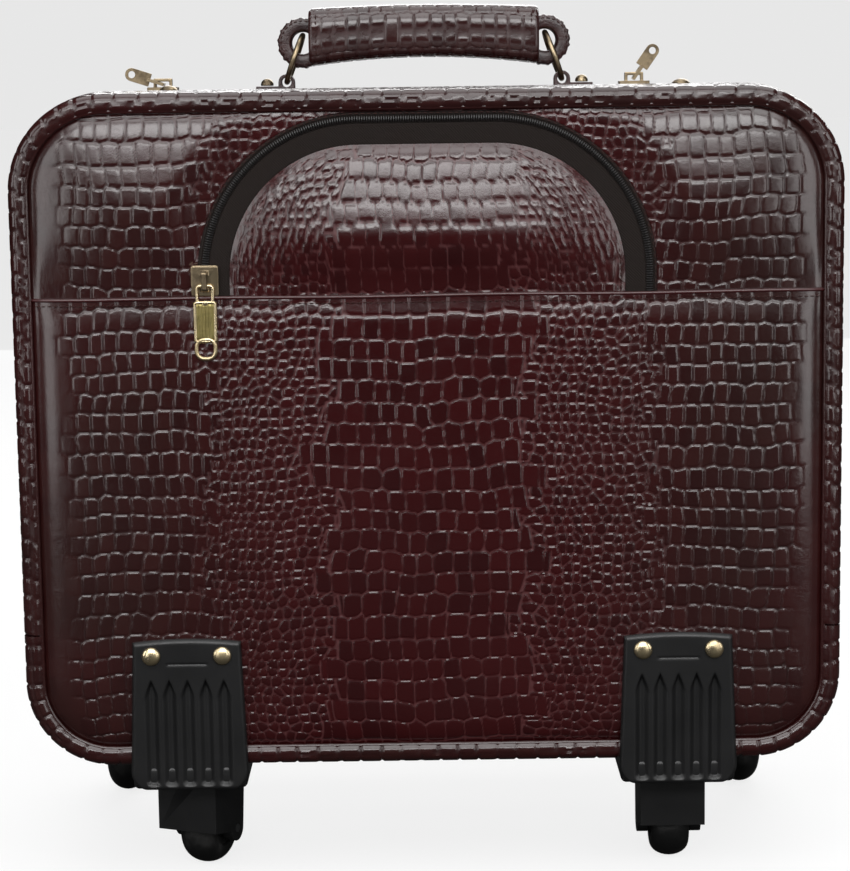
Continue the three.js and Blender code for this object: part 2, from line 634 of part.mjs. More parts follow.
for (const [name, side] of SIDES) {
  add(`chape_${name}`, chape(side), leather());
  const chapeRivet = rivet('z', SMALL_RIVET, RIVET_RISE);
  const seat = CHAPE_FOOT + CHAPE_TAIL_THICK + FIT;
  const short = common(chapeRivet, box(-HALF, HALF, -HALF, HALF, CASE_TOP + FIT - seat, HALF));
  add(`chape_rivet_${name}`, short.translate(side * CHAPE_RIVET_X, HANDLE_Y, seat), oldBrass());
  add(`handle_ring_${name}`, ring(side), oldBrass());
}
add('handle_strap', strap(0, false), leather());
add('handle_grip', handleGrip(), leather());

// ---------------------------------------------------------------- trolley
function socket() {
  const depthBack = BACK - FACE - FIT;
  const shell = cut(
    box(-SOCKET_HALF_WIDTH, SOCKET_HALF_WIDTH, SOCKET_FRONT, depthBack, SOCKET_FOOT, CASE_TOP),
    box(-SOCKET_HALF_WIDTH + SOCKET_WALL, SOCKET_HALF_WIDTH - SOCKET_WALL,
      SOCKET_FRONT + SOCKET_WALL, depthBack - SOCKET_WALL, SOCKET_FOOT + SOCKET_FLOOR, CASE_TOP + PAST));
  const holes = SIDES.map(([, side]) => rod('z', TUBE_RADIUS + FIT, SOCKET_FOOT - PAST,
    SOCKET_FOOT + SOCKET_FLOOR + PAST, side * TUBE_SPACING / 2, TUBE_Y));
  return cut(shell, ...holes);
}

function roundedBar(halfLength, halfWidth, corner) {
  const shape = new THREE.Shape();
  shape.moveTo(-halfLength + corner, -halfWidth);
  shape.lineTo(halfLength - corner, -halfWidth);
  shape.absarc(halfLength - corner, -halfWidth + corner, corner, -Math.PI / 2, 0);
  shape.absarc(halfLength - corner, halfWidth - corner, corner, 0, Math.PI / 2);
  shape.lineTo(-halfLength + corner, halfWidth);
  shape.absarc(-halfLength + corner, halfWidth - corner, corner, Math.PI / 2, Math.PI);
  shape.absarc(-halfLength + corner, -halfWidth + corner, corner, Math.PI, Math.PI * 1.5);
  shape.closePath();
  return shape;
}

const stageRadii = [0, 1, 2].map((stage) => TUBE_RADIUS - stage * (TUBE_WALL + FIT));
const tubeSocketTop = GRIP_FOOT + GRIP_HEIGHT / 2;

function trolleyGrip() {
  const bar = block(roundedBar(GRIP_HALF_WIDTH, GRIP_THICK / 2, 5), GRIP_FOOT, GRIP_TOP, 4);
  const pocket = box(-BUTTON_HALF_LENGTH - FIT, BUTTON_HALF_LENGTH + FIT,
    -BUTTON_HALF_WIDTH - FIT, BUTTON_HALF_WIDTH + FIT,
    GRIP_TOP + BUTTON_PROUD - BUTTON_HEIGHT - BUTTON_TRAVEL - FIT, GRIP_TOP + PAST);
  const seats = SIDES.map(([, side]) => rod('z', stageRadii[2] + FIT, GRIP_FOOT - PAST, tubeSocketTop + FIT,
    side * TUBE_SPACING / 2, 0));
  return cut(bar, pocket, ...seats).translate(0, TUBE_Y, 0);
}

add('handle_socket', socket(), plastic());
const tubeTops = [SOCKET_FOOT + SOCKET_FLOOR, SOCKET_FOOT + SOCKET_FLOOR, tubeSocketTop];
['outer', 'middle', 'inner'].forEach((stage, index) => {
  for (const [name, side] of SIDES) {
    const start = FLOOR_TOP + FIT + index * STAGE_STEP;
    const length = tube(stageRadii[index], stageRadii[index] - TUBE_WALL, start, tubeTops[index]);
    add(`trolley_${stage}_tube_${name}`, length.translate(side * TUBE_SPACING / 2, TUBE_Y, 0), aluminium());
  }
});
add('trolley_grip', trolleyGrip(), plastic());
const buttonTop = GRIP_TOP + BUTTON_PROUD;
add('trolley_button', box(-BUTTON_HALF_LENGTH, BUTTON_HALF_LENGTH, TUBE_Y - BUTTON_HALF_WIDTH,
  TUBE_Y + BUTTON_HALF_WIDTH, buttonTop - BUTTON_HEIGHT, buttonTop), plastic());

// ---------------------------------------------------------------- front guards and casters
function guardOutline() {
  const shape = new THREE.Shape();
  shape.moveTo(-GUARD_HALF_FOOT + GUARD_ROUND, GUARD_FOOT);
  shape.lineTo(GUARD_HALF_FOOT - GUARD_ROUND, GUARD_FOOT);
  shape.quadraticCurveTo(GUARD_HALF_FOOT, GUARD_FOOT, GUARD_HALF_FOOT, GUARD_FOOT + GUARD_ROUND);
  shape.lineTo(GUARD_HALF_TOP, GUARD_TOP);
  shape.quadraticCurveTo(0, GUARD_TOP + GUARD_CROWN, -GUARD_HALF_TOP, GUARD_TOP);
  shape.lineTo(-GUARD_HALF_FOOT, GUARD_FOOT + GUARD_ROUND);
  shape.quadraticCurveTo(-GUARD_HALF_FOOT, GUARD_FOOT, -GUARD_HALF_FOOT + GUARD_ROUND, GUARD_FOOT);
  shape.closePath();
  return shape;
}

function flute(across) {
  const half = FLUTE_WIDTH / 2;
  const shape = new THREE.Shape();
  shape.moveTo(across - half, FLUTE_FOOT);
  shape.lineTo(across + half, FLUTE_FOOT);
  shape.lineTo(across + half, FLUTE_TOP - FLUTE_WIDTH);
  shape.lineTo(across, FLUTE_TOP);
  shape.lineTo(across - half, FLUTE_TOP - FLUTE_WIDTH);
  shape.closePath();
  return slab(shape, GUARD_FACE - PAST, GUARD_FACE + FLUTE_DEPTH);
}

// The guard: a fluted plate on the case's front and a sole under it that takes the caster's stem.
function guard() {
  const plate = slab(guardOutline(), GUARD_FACE, GUARD_BACK, 4);
  const sole = common(slab(guardOutline(), GUARD_FACE, GUARD_BACK + GUARD_DEPTH, 4),
    box(-HALF, HALF, GUARD_FACE - PAST, GUARD_BACK + GUARD_DEPTH + PAST, 0, CASE_FOOT - FIT));
  const flutes = [];
  for (let count = 0; count < FLUTES; count += 1) {
    flutes.push(flute((count - (FLUTES - 1) / 2) * FLUTE_PITCH));
  }
  const holes = [-GUARD_RIVET_X, GUARD_RIVET_X].map((x) => rod('y', RIVET_SHANK + FIT,
    GUARD_FACE - PAST, GUARD_BACK + PAST, x, GUARD_RIVET_Z));
  const bore = rod('z', STEM_RADIUS + FIT, GUARD_FOOT - PAST, CASE_FOOT + PAST, 0, CASTER_Y);
  return cut(join(plate, sole), ...flutes, ...holes, bore);
}

// The hooded fork in its own frame: swivel axis on Z, the wheel trailing towards +Y.
function fork() {
  const half = FORK_WIDTH / 2;
  const shape = new THREE.Shape();
  shape.moveTo(-FORK_FRONT, FORK_CROWN_TOP);
  shape.lineTo(-FORK_FRONT, CASTER_RADIUS + FORK_HOOD_RISE);
  shape.lineTo(CASTER_TRAIL - FORK_HUB, CASTER_RADIUS);
  shape.absarc(CASTER_TRAIL, CASTER_RADIUS, FORK_HUB, Math.PI, Math.PI * 2);
  shape.lineTo(CASTER_TRAIL + FORK_HUB + 2, FORK_CROWN_FOOT);
  shape.lineTo(CASTER_TRAIL + FORK_HUB + 2, FORK_CROWN_TOP);
  shape.closePath();
  const whole = cheek(shape, -half, half);
  const space = box(-half + FORK_EAR, half - FORK_EAR,
    -FORK_FRONT + FORK_HOOD, CASTER_TRAIL + 2 * FORK_HUB, 0, FORK_CROWN_FOOT);
  const disc = rod('z', FORK_DISC, FORK_CROWN_TOP - 1, GUARD_FOOT - FIT, 0, 0, 20);
  const stem = rod('z', STEM_RADIUS, GUARD_FOOT - 1, STEM_TOP, 0, 0);
  const hole = rod('x', CASTER_AXLE + FIT, -half - PAST, half + PAST, CASTER_TRAIL, CASTER_RADIUS);
  return cut(join(cut(whole, space), disc, stem), hole);
}

for (const [name, side] of SIDES) {
  add(`guard_${name}`, guard().translate(side * GUARD_X, 0, 0), plastic());
  for (const [place, across] of [['outer', side], ['inner', -side]]) {
    const head = rivet('y', RIVET_RADIUS, RIVET_RISE).rotateX(Math.PI);
    const x = side * GUARD_X + across * GUARD_RIVET_X;
    add(`guard_rivet_${name}_${place}`, head.translate(x, GUARD_FACE - FIT, GUARD_RIVET_Z), brass());
  }
  const caster = new THREE.Group();
  caster.position.set(side * GUARD_X, CASTER_Y, 0);
  caster.rotation.z = round(CASTER_TURN[name]);
  flightCase.add(caster);
  add(`caster_fork_${name}`, fork(), plastic(), caster);
  const half = FORK_WIDTH / 2;
  const pin = rod('x', CASTER_AXLE, -half, half, CASTER_TRAIL, CASTER_RADIUS, 12);
  add(`caster_axle_${name}`, pin, steel(), caster);
  const roller = wheel(CASTER_RADIUS, CASTER_WIDTH, CASTER_AXLE + FIT, 7);
  add(`caster_wheel_${name}`, roller.translate(0, CASTER_TRAIL, CASTER_RADIUS), rubber(), caster);
}

// ---------------------------------------------------------------- rear wheels
const housingHalf = WHEEL_WIDTH / 2 + HOUSING_CHEEK;
const housingBack = BACK + PIPING_RISE + FIT + HOUSING_PLATE;

// A corner housing under and behind the body, open below and behind for the wheel.
function housing() {
  const y = WHEEL_Y;
  const z = WHEEL_RADIUS;
  const shape = new THREE.Shape();
  shape.moveTo(y - HOUSING_FRONT, CASE_FOOT + FOOT_RADIUS / 2);
  shape.lineTo(y - HOUSING_FRONT, z + 17);
  shape.lineTo(y - 9, z - 6);
  shape.lineTo(y + 9, z - 6);
  shape.lineTo(housingBack, z + 17);
  shape.lineTo(housingBack, HOUSING_TOP - 3);
  shape.lineTo(housingBack - 3, HOUSING_TOP);
  shape.lineTo(BACK, HOUSING_TOP);
  shape.lineTo(BACK, CASE_FOOT + FOOT_RADIUS / 2);
  shape.closePath();
  const whole = cheek(shape, -housingHalf, housingHalf);
  const halfSlot = WHEEL_WIDTH / 2 + 0.8;
  const slot = rod('x', WHEEL_RADIUS + 2.5, -halfSlot, halfSlot, y, z, 24);
  const mouth = box(-halfSlot, halfSlot, y - WHEEL_RADIUS - 2.5, y + WHEEL_RADIUS + 2.5, 0, z);
  const hole = rod('x', WHEEL_AXLE + FIT, -housingHalf - PAST, housingHalf + PAST, y, z);
  return cut(whole, slot, mouth, hole);
}

const bodyTool = () => slab(outline(-FIT), FRONT, BACK + PIPING_RISE + FIT);
for (const [name, side] of SIDES) {
  const x = side * WHEEL_X;
  add(`rear_wheel_housing_${name}`, cut(housing().translate(x, 0, 0), bodyTool()), plastic());
  const pin = rod('x', WHEEL_AXLE, x - housingHalf, x + housingHalf, WHEEL_Y, WHEEL_RADIUS, 12);
  add(`rear_axle_${name}`, pin, steel());
  const roller = wheel(WHEEL_RADIUS, WHEEL_WIDTH, WHEEL_AXLE + FIT, 9);
  add(`rear_wheel_${name}`, roller.translate(x, WHEEL_Y, WHEEL_RADIUS), rubber());
}

// The origin is on the ground under the middle of the whole.
flightCase.updateMatrixWorld(true);
const middle = new THREE.Box3().setFromObject(flightCase, true).getCenter(new THREE.Vector3());
flightCase.position.set(-middle.x, -middle.y, 0);
flightCase.updateMatrixWorld(true);

export default flightCase;
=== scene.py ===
"""A pilot's upright rolling flight case in glossy croc-embossed leather, built round its CAD frame.

Lengths are in millimetres until a mesh is made, and every place comes from the frame's own boxes.
"""
import json
import math

import bpy
import numpy as np
from mathutils import Matrix, Vector

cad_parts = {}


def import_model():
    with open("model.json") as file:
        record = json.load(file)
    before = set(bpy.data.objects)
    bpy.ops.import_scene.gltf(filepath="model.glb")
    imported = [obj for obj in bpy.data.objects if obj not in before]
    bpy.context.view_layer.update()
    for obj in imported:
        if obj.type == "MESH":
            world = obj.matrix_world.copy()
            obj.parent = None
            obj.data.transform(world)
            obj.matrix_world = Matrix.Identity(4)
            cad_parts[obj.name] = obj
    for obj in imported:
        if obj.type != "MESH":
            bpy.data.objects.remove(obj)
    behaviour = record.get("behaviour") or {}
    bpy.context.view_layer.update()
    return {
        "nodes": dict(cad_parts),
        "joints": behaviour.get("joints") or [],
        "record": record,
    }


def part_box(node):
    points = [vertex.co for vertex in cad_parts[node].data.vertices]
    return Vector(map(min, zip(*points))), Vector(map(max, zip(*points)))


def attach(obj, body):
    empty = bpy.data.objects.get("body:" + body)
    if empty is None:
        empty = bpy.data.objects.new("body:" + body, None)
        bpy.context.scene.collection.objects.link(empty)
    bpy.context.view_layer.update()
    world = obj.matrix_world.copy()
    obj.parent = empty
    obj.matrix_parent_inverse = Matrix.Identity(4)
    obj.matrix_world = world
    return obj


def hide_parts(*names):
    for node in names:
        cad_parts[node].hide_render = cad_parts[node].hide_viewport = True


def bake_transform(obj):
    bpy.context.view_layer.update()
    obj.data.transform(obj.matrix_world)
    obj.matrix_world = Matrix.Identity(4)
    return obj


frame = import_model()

MM = 0.001
SIDES = (("left", -1), ("right", 1))

# ------------------------------------------------------------------ places read from the frame


def low(node):
    return np.array(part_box(node)[0]) / MM


def high(node):
    return np.array(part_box(node)[1]) / MM


def centre(node):
    return (low(node) + high(node)) / 2


FRONT = low("front_panel")[1]            # the case's front face, under its padding
BACK = high("back_panel")[1]
HALF = high("back_panel")[0]
FOOT, TOP = low("back_panel")[2], high("back_panel")[2]
TOP_ROUND, FOOT_ROUND = 50.0, 45.0
FOLD = (high("front_base")[2] + low("front_rim")[2]) / 2
RIM_BACK = high("front_rim")[1]
GUSSET_FRONT = low("rear_gusset")[1]
SEAM = high("pocket_panel")[2]
ARCH_HALF = high("pocket_zip_tape")[0]
ARCH_TOP = high("pocket_zip_tape")[2]
ARCH_ROUND = 84.0
TAPE = ARCH_TOP - high("pocket_flap")[2]
ROLL = 5.0                               # radius of the rolled edge band
GROOVE = 9.4                             # from the outline to the groove inside the piping
SOCKET_LOW, SOCKET_HIGH = low("handle_socket"), high("handle_socket")

# ------------------------------------------------------------------ shader expressions


class Wire:
    """A socket that can be used in sums: each operator adds a Math node."""

    def __init__(self, paint, socket):
        self.paint, self.socket = paint, socket

    def _math(self, operation, *values):
        return self.paint.node("Math", {"operation": operation}, dict(enumerate(values)))

    def __add__(self, other):
        return self._math("ADD", self, other)

    def __sub__(self, other):
        return self._math("SUBTRACT", self, other)

    def __rsub__(self, other):
        return self._math("SUBTRACT", other, self)

    def __mul__(self, other):
        return self._math("MULTIPLY", self, other)

    def __truediv__(self, other):
        return self._math("DIVIDE", self, other)

    def __pow__(self, other):
        return self._math("POWER", self, other)

    __radd__, __rmul__ = __add__, __mul__

    def clamp(self):
        return self.paint.node("Clamp", {}, {"Value": self})

    def above(self, start, end):
        """0 below start, 1 above end, smooth between."""
        return self.paint.node("MapRange", {"interpolation_type": "SMOOTHSTEP"},
                               {"Value": self, "From Min": start, "From Max": end})


class Paint:
    """One material and its nodes."""

    def __init__(self, name):
        self.material = bpy.data.materials.new(name)
        self.material.use_nodes = True
        self.tree = self.material.node_tree
        self.shader = self.tree.nodes["Principled BSDF"]

    def node(self, kind, settings, inputs, out=0):
        """Adds a node of this kind, sets it up, links or sets its sockets, and gives one output."""
        made = self.tree.nodes.new("ShaderNode" + kind)
        for key, value in settings.items():
            setattr(made, key, value)
        for key, value in inputs.items():
            socket = made.inputs[key]
            if isinstance(value, Wire):
                self.tree.links.new(value.socket, socket)
            else:
                socket.default_value = value
        return Wire(self, made.outputs[out])

    def attribute(self, name):
        return self.node("Attribute", {"attribute_name": name}, {}, out="Fac")

    def place(self):
        return self.node("TexCoord", {}, {}, out="Object")

    def noise(self, scale, detail=3.0, rough=0.55, stretch=None):
        where = self.place()
        if stretch:
            where = self.node("VectorMath", {"operation": "MULTIPLY"}, {0: where, 1: stretch})
        return self.node("TexNoise", {}, {"Vector": where, "Scale": scale, "Detail": detail,
                                          "Roughness": rough}, out=0)

    def cells(self, scale, feature="F1", out="Distance"):
        return self.node("TexVoronoi", {"feature": feature}, {"Vector": self.place(), "Scale": scale}, out=out)

    def mix(self, factor, first, second):
        """A colour between two colours."""
        made = self.tree.nodes.new("ShaderNodeMix")
        made.data_type = "RGBA"
        for index, value in ((0, factor), (6, first), (7, second)):
            if isinstance(value, Wire):
                self.tree.links.new(value.socket, made.inputs[index])
            else:
                made.inputs[index].default_value = value if index == 0 else (*value, 1)
        return Wire(self, made.outputs[2])

    def bump(self, height, strength, distance):
        return self.node("Bump", {}, {"Height": height, "Strength": strength, "Distance": distance})

    def set(self, **sockets):
        """Sets or links the Principled shader's sockets; base_color means Base Color."""
        for key, value in sockets.items():
            socket = self.shader.inputs[key.replace("_", " ").title().replace("Ior", "IOR")]
            if isinstance(value, Wire):
                self.tree.links.new(value.socket, socket)
            elif isinstance(value, tuple):
                socket.default_value = (*value, 1)
            else:
                socket.default_value = value
        return self


def croc_leather():
    """Glossy oxblood hide: near-black red scales, browner towards the flanks; the creases carry painted light, pale
    pink in the middle (dust and a painted highlight on the scale edges) and dark at the flanks (painted shade in the
    grooves).
    """
    p = Paint("croc_leather")
    crease = p.attribute("crease")
    tone = p.attribute("tone")
    flank = p.attribute("flank")
    cloud = p.noise(9, 3)
    belly = p.mix(tone, (0.017, 0.0006, 0.0010), (0.028, 0.0013, 0.0018))
    side = p.mix(tone, (0.014, 0.0035, 0.0032), (0.022, 0.0065, 0.0056))
    scales = p.mix(flank, belly, side)
    worn = p.mix(cloud.above(0.42, 0.7) * 0.5, scales, (0.030, 0.0035, 0.0040))
    # Crease colour: pale pink in the middle, partly dust and partly a painted highlight where the scale edges catch
    # the light; dark at the flanks, a painted shade in the grooves.
    crease_dust_and_painted_light = p.mix(flank, (0.085, 0.026, 0.027), (0.012, 0.0045, 0.0040))
    colour = p.mix((crease ** 3.0) * 0.85, worn, crease_dust_and_painted_light)
    grain = p.noise(900, 3) + p.cells(1500) * 0.5
    rough = 0.15 + 0.08 * p.noise(30, 3) + crease * 0.14 + p.noise(420, 2) * 0.06
    normal = p.bump(grain * 0.35 + p.noise(170, 2), 0.32, 0.0004)
    p.set(base_color=colour, roughness=rough.clamp(), normal=normal, coat_weight=0.45 - crease * 0.25,
          coat_roughness=0.12, specular_ior_level=0.5)
    return p.material


def strap_leather():
    """Plain oxblood strap leather with fine grain and pull-up wear."""
    p = Paint("strap_leather")
    cloud = p.noise(60, 4)
    wrinkle = p.noise(260, 3, stretch=(1.0, 0.3, 1.0))
    colour = p.mix(cloud.above(0.3, 0.7), (0.012, 0.0022, 0.0024), (0.032, 0.0085, 0.0080))
    normal = p.bump(wrinkle + p.cells(1300) * 0.4, 0.5, 0.0006)
    p.set(base_color=colour, roughness=0.3 + cloud * 0.14, normal=normal, coat_weight=0.25, coat_roughness=0.2)
    return p.material


def woven_cloth(name, dark, pale, threads):
    """Twill tape or lining: two crossed sets of threads over a cloudy base."""
    p = Paint(name)
    where = p.place()
    warp = p.node("TexWave", {"bands_direction": "DIAGONAL"}, {"Vector": where, "Scale": threads,
                                                             "Distortion": 0.3}, out=1)
    weft = p.node("TexWave", {"bands_direction": "Z"}, {"Vector": where, "Scale": threads * 1.3,
                                                       "Distortion": 0.3}, out=1)
    weave = warp * 0.6 + weft * 0.4
    cloud = p.noise(90, 3)
    p.set(base_color=p.mix((weave * 0.6 + cloud * 0.4).clamp(), dark, pale), roughness=0.78 + cloud * 0.15,
          normal=p.bump(weave, 0.6, 0.0003), specular_ior_level=0.25)
    return p.material


def cast_metal(name, bright, dark, rough, wear):
    """Cast and rubbed metal: dark in patches, bright where it is handled, with fine scratches."""
    p = Paint(name)
    patches = p.noise(130, 5).above(0.42, 0.68)
    scratch = p.noise(500, 2, stretch=(1.0, 1.0, 0.06))
    p.set(base_color=p.mix(patches * wear, bright, dark), metallic=1.0,
          roughness=(rough + patches * 0.16 + scratch * 0.08).clamp(), normal=p.bump(scratch, 0.04, 0.0002))
    return p.material


def moulded_plastic(name, colour, rough, grain=1200):
    """Satin moulded plastic with a fine spark-eroded grain."""
    p = Paint(name)
    cloud = p.noise(40, 3)
    p.set(base_color=p.mix(cloud, colour, tuple(c * 1.6 + 0.002 for c in colour)),
          roughness=rough + cloud * 0.12, normal=p.bump(p.noise(grain, 2), 0.25, 0.0002))
    return p.material


def tyre_rubber():
    """Black rubber, greyer where it has rolled."""
    p = Paint("tyre_rubber")
    dust = p.noise(70, 5).above(0.45, 0.75)
    p.set(base_color=p.mix(dust, (0.0045, 0.0045, 0.0045), (0.013, 0.0125, 0.012)), roughness=0.40 + dust * 0.3,
          normal=p.bump(p.noise(700, 3), 0.3, 0.0003))
    return p.material


def drawn_metal(name, colour, rough):
    """Drawn tube or bar, with fine lines along its length."""
    p = Paint(name)
    lines = p.noise(900, 2, stretch=(1.0, 1.0, 0.02))
    p.set(base_color=p.mix(lines, colour, tuple(c * 0.7 for c in colour)), metallic=1.0,
          roughness=rough + lines * 0.15, normal=p.bump(lines, 0.12, 0.0001))
    return p.material


LEATHER = croc_leather()
STRAP = strap_leather()
TAPE_CLOTH = woven_cloth("zip_cloth", (0.0040, 0.0024, 0.0020), (0.0125, 0.0075, 0.0058), 420)
LINING = woven_cloth("lining_cloth", (0.030, 0.020, 0.016), (0.075, 0.052, 0.042), 260)
BOARD = woven_cloth("covered_board", (0.040, 0.028, 0.020), (0.085, 0.062, 0.046), 180)
BRASS = cast_metal("bright_brass", (0.80, 0.66, 0.42), (0.34, 0.26, 0.13), 0.22, 0.55)
OLIVE_BRASS = cast_metal("olive_brass", (0.30, 0.25, 0.10), (0.12, 0.10, 0.04), 0.34, 0.8)
OLD_BRASS = cast_metal("antique_brass", (0.33, 0.26, 0.165), (0.085, 0.064, 0.042), 0.26, 0.9)
PLASTIC = moulded_plastic("black_plastic", (0.0050, 0.0050, 0.0052), 0.30)
RUBBER = tyre_rubber()
ALUMINIUM = drawn_metal("tube_aluminium", (0.55, 0.55, 0.56), 0.25)
STEEL = drawn_metal("axle_steel", (0.36, 0.36, 0.37), 0.3)
SLOTS = {
    "croc_leather": STRAP, "zip_cloth": TAPE_CLOTH, "lining_cloth": LINING, "fibreboard": BOARD,
    "bright_brass": BRASS, "antique_brass": OLD_BRASS, "black_plastic": PLASTIC, "wheel_rubber": RUBBER,
    "tube_aluminium": ALUMINIUM, "axle_steel": STEEL,
}

# ------------------------------------------------------------------ meshes from grids


def grid_faces(rows, columns, around_rows=False, around_columns=False, start=0):
    """Quads between neighbouring points of a grid; it may close on itself either way."""
    index = np.arange(rows * columns).reshape(rows, columns) + start
    if around_rows:
        index = np.vstack([index, index[:1]])
    if around_columns:
        index = np.hstack([index, index[:, :1]])
    quads = np.stack([index[:-1, :-1], index[1:, :-1], index[1:, 1:], index[:-1, 1:]], axis=-1)
    return quads.reshape(-1, 4)


def volume(points, faces):
    """Signed volume inside faces, each taken as a fan from its first corner."""
    total = 0.0
    for block in faces:
        corner = points[block]
        for k in range(1, block.shape[1] - 1):
            total += np.einsum("ij,ij->", corner[:, 0], np.cross(corner[:, k], corner[:, k + 1]))
    return total


class Piece:
    """Points and faces gathered for one object, shell by shell; each shell is closed and faces out."""

    def __init__(self):
        self.points, self.faces, self.layers, self.paints, self.count = [], [], [], [], 0

    def shell(self, points, faces, layers=None, paint=0):
        """Adds a closed shell; `paint` is one material number, or one for each block of faces."""
        points = np.asarray(points, float).reshape(-1, 3)
        if volume(points, faces) < 0:
            faces = [block[:, ::-1] for block in faces]
        paints = paint if isinstance(paint, (list, tuple)) else [paint] * len(faces)
        for block, number in zip(faces, paints):
            self.faces.append(block + self.count)
            self.paints.append(number)
        self.points.append(points)
        self.layers.append(dict(layers or {}, size=len(points)))
        self.count += len(points)
        return self

    def build(self, name, materials, body=None, replaces=(), slot="croc_leather", sharp=40.0):
        mesh = bpy.data.meshes.new(name)
        points = np.vstack(self.points) * MM
        mesh.vertices.add(len(points))
        mesh.vertices.foreach_set("co", points.astype(np.float32).ravel())
        loops = np.concatenate([block.ravel() for block in self.faces])
        sizes = np.concatenate([np.full(len(block), block.shape[1]) for block in self.faces])
        mesh.loops.add(len(loops))
        mesh.loops.foreach_set("vertex_index", loops.astype(np.int32))
        mesh.polygons.add(len(sizes))
        mesh.polygons.foreach_set("loop_start", (np.cumsum(sizes) - sizes).astype(np.int32))
        numbers = np.concatenate([np.full(len(b), n) for b, n in zip(self.faces, self.paints)])
        mesh.polygons.foreach_set("material_index", numbers.astype(np.int32))
        mesh.update(calc_edges=True)
        for key in sorted({key for layer in self.layers for key in layer} - {"size"}):
            values = np.concatenate([np.broadcast_to(layer.get(key, 0.0), layer["size"]) for layer in self.layers])
            mesh.attributes.new(key, "FLOAT", "POINT").data.foreach_set("value", values.astype(np.float32))
        mesh.polygons.foreach_set("use_smooth", np.ones(len(sizes), bool))
        mesh.set_sharp_from_angle(angle=math.radians(sharp))
        mesh.validate()
        for material in materials if isinstance(materials, (list, tuple)) else [materials]:
            mesh.materials.append(material)
        obj = bpy.data.objects.new(name, mesh)
        bpy.context.scene.collection.objects.link(obj)
        if body:
            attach(obj, body)
        if replaces:
            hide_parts(*replaces)
        return obj


def lidded(front, back):
    """A relief grid (rows, columns, 3) closed by a rim and a back whose border is `back` of the front's border.
    The back has one face for each row, so that it bends wherever the front does."""
    rows, columns = front.shape[:2]
    index = np.arange(rows * columns).reshape(rows, columns)
    border = np.concatenate([index[0, :-1], index[:-1, -1], index[-1, :0:-1], index[:0:-1, 0]])
    rim = np.arange(len(border)) + rows * columns
    points = np.vstack([front.reshape(-1, 3), back(front.reshape(-1, 3)[border])])
    skirt = np.stack([border, np.roll(border, -1), np.roll(rim, -1), rim], axis=-1)
    right = rim[columns - 1:columns - 1 + rows]
    left = np.concatenate([rim[:1], rim[:-rows:-1]])
    middle = np.stack([left[1:-2], left[2:-1], right[2:-1], right[1:-2]], axis=-1)
    first = np.concatenate([[left[1], right[1]], rim[columns - 1::-1]])
    last = np.concatenate([[left[-2]], rim[columns + rows - 2:2 * columns + rows - 2][::-1], [right[-2]]])
    return points, [grid_faces(rows, columns)[:, ::-1], skirt, middle, first[None], last[None]]


LINED = (0, 0, 1, 1, 1)                  # leather in front and round the rim, lining behind


def rounded_distance(x, z, middle, half, corner):
    """Distance inside a rounded rectangle, positive within; corner may differ from point to point."""
    across = np.abs(x - middle[0]) - (half[0] - corner)
    up = np.abs(z - middle[1]) - (half[1] - corner)
    outside = np.hypot(np.maximum(across, 0), np.maximum(up, 0))
    return -(outside + np.minimum(np.maximum(across, up), 0) - corner)


def smooth(value, start, end):
    t = np.clip((value - start) / (end - start), 0, 1)
    return t * t * (3 - 2 * t)


def body_distance(x, z):
    """How far a point of the front or back view lies inside the body's outline."""
    middle = (0.0, (FOOT + TOP) / 2)
    corner = np.where(z > middle[1], TOP_ROUND, FOOT_ROUND)
    return rounded_distance(x, z, middle, (HALF, (TOP - FOOT) / 2), corner)


# ------------------------------------------------------------------ the hide's relief


def chance(a, b, seed):
    """A fixed pseudo-random number from 0 to 1 for each pair of whole numbers."""
    value = np.sin(a * 127.1 + b * 311.7 + seed * 74.7) * 43758.5453
    return value - np.floor(value)


def scales(across, up, jitter, square, stagger, seed):
    """Cells round jittered centres on a unit lattice, measured with a power distance (2 is round, 6 nearly square).
    Each row is set off sideways by a random part of `stagger`. Gives how far a point is from its cell's border,
    how far from its centre, and a random tone for its cell."""
    nearest = np.full(across.shape, 9.0)
    second = nearest.copy()
    tone = np.zeros(across.shape)
    for row_step in (-1, 0, 1):
        row = np.floor(up) + row_step
        shift = stagger * chance(row, 7.0, seed + 5)
        for column_step in (-1, 0, 1):
            column = np.floor(across - shift) + column_step
            x = column + 0.5 + shift + jitter[0] * (chance(column, row, seed) - 0.5)
            y = row + 0.5 + jitter[1] * (chance(column, row, seed + 1) - 0.5)
            away = (np.abs(across - x) ** square + np.abs(up - y) ** square) ** (1 / square)
            closer = away < nearest
            second = np.where(closer, nearest, np.minimum(second, away))
            tone = np.where(closer, chance(column, row, seed + 2), tone)
            nearest = np.where(closer, away, nearest)
    return second - nearest, nearest, tone


def wave(a, b, seed):
    """A slow wobble between about -1 and 1."""
    return (np.sin(a / 19 + seed) + np.sin(b / 13 + 2 * seed) + np.sin((a + b) / 29 + 3 * seed)) / 3


ROW = 11.4                                # height of one row of belly scales
# Distance from the hide's middle line, and how many scales lie inside it.
REACH = (0.0, 56.0, 64.0, 112.0, 128.0, 215.0)
COUNT = (0.0, 6.1, 7.3, 16.6, 18.9, 29.6)
BELLY_END, GRAINS_END, FLANK_END = 6.1, 17.0, 26.3


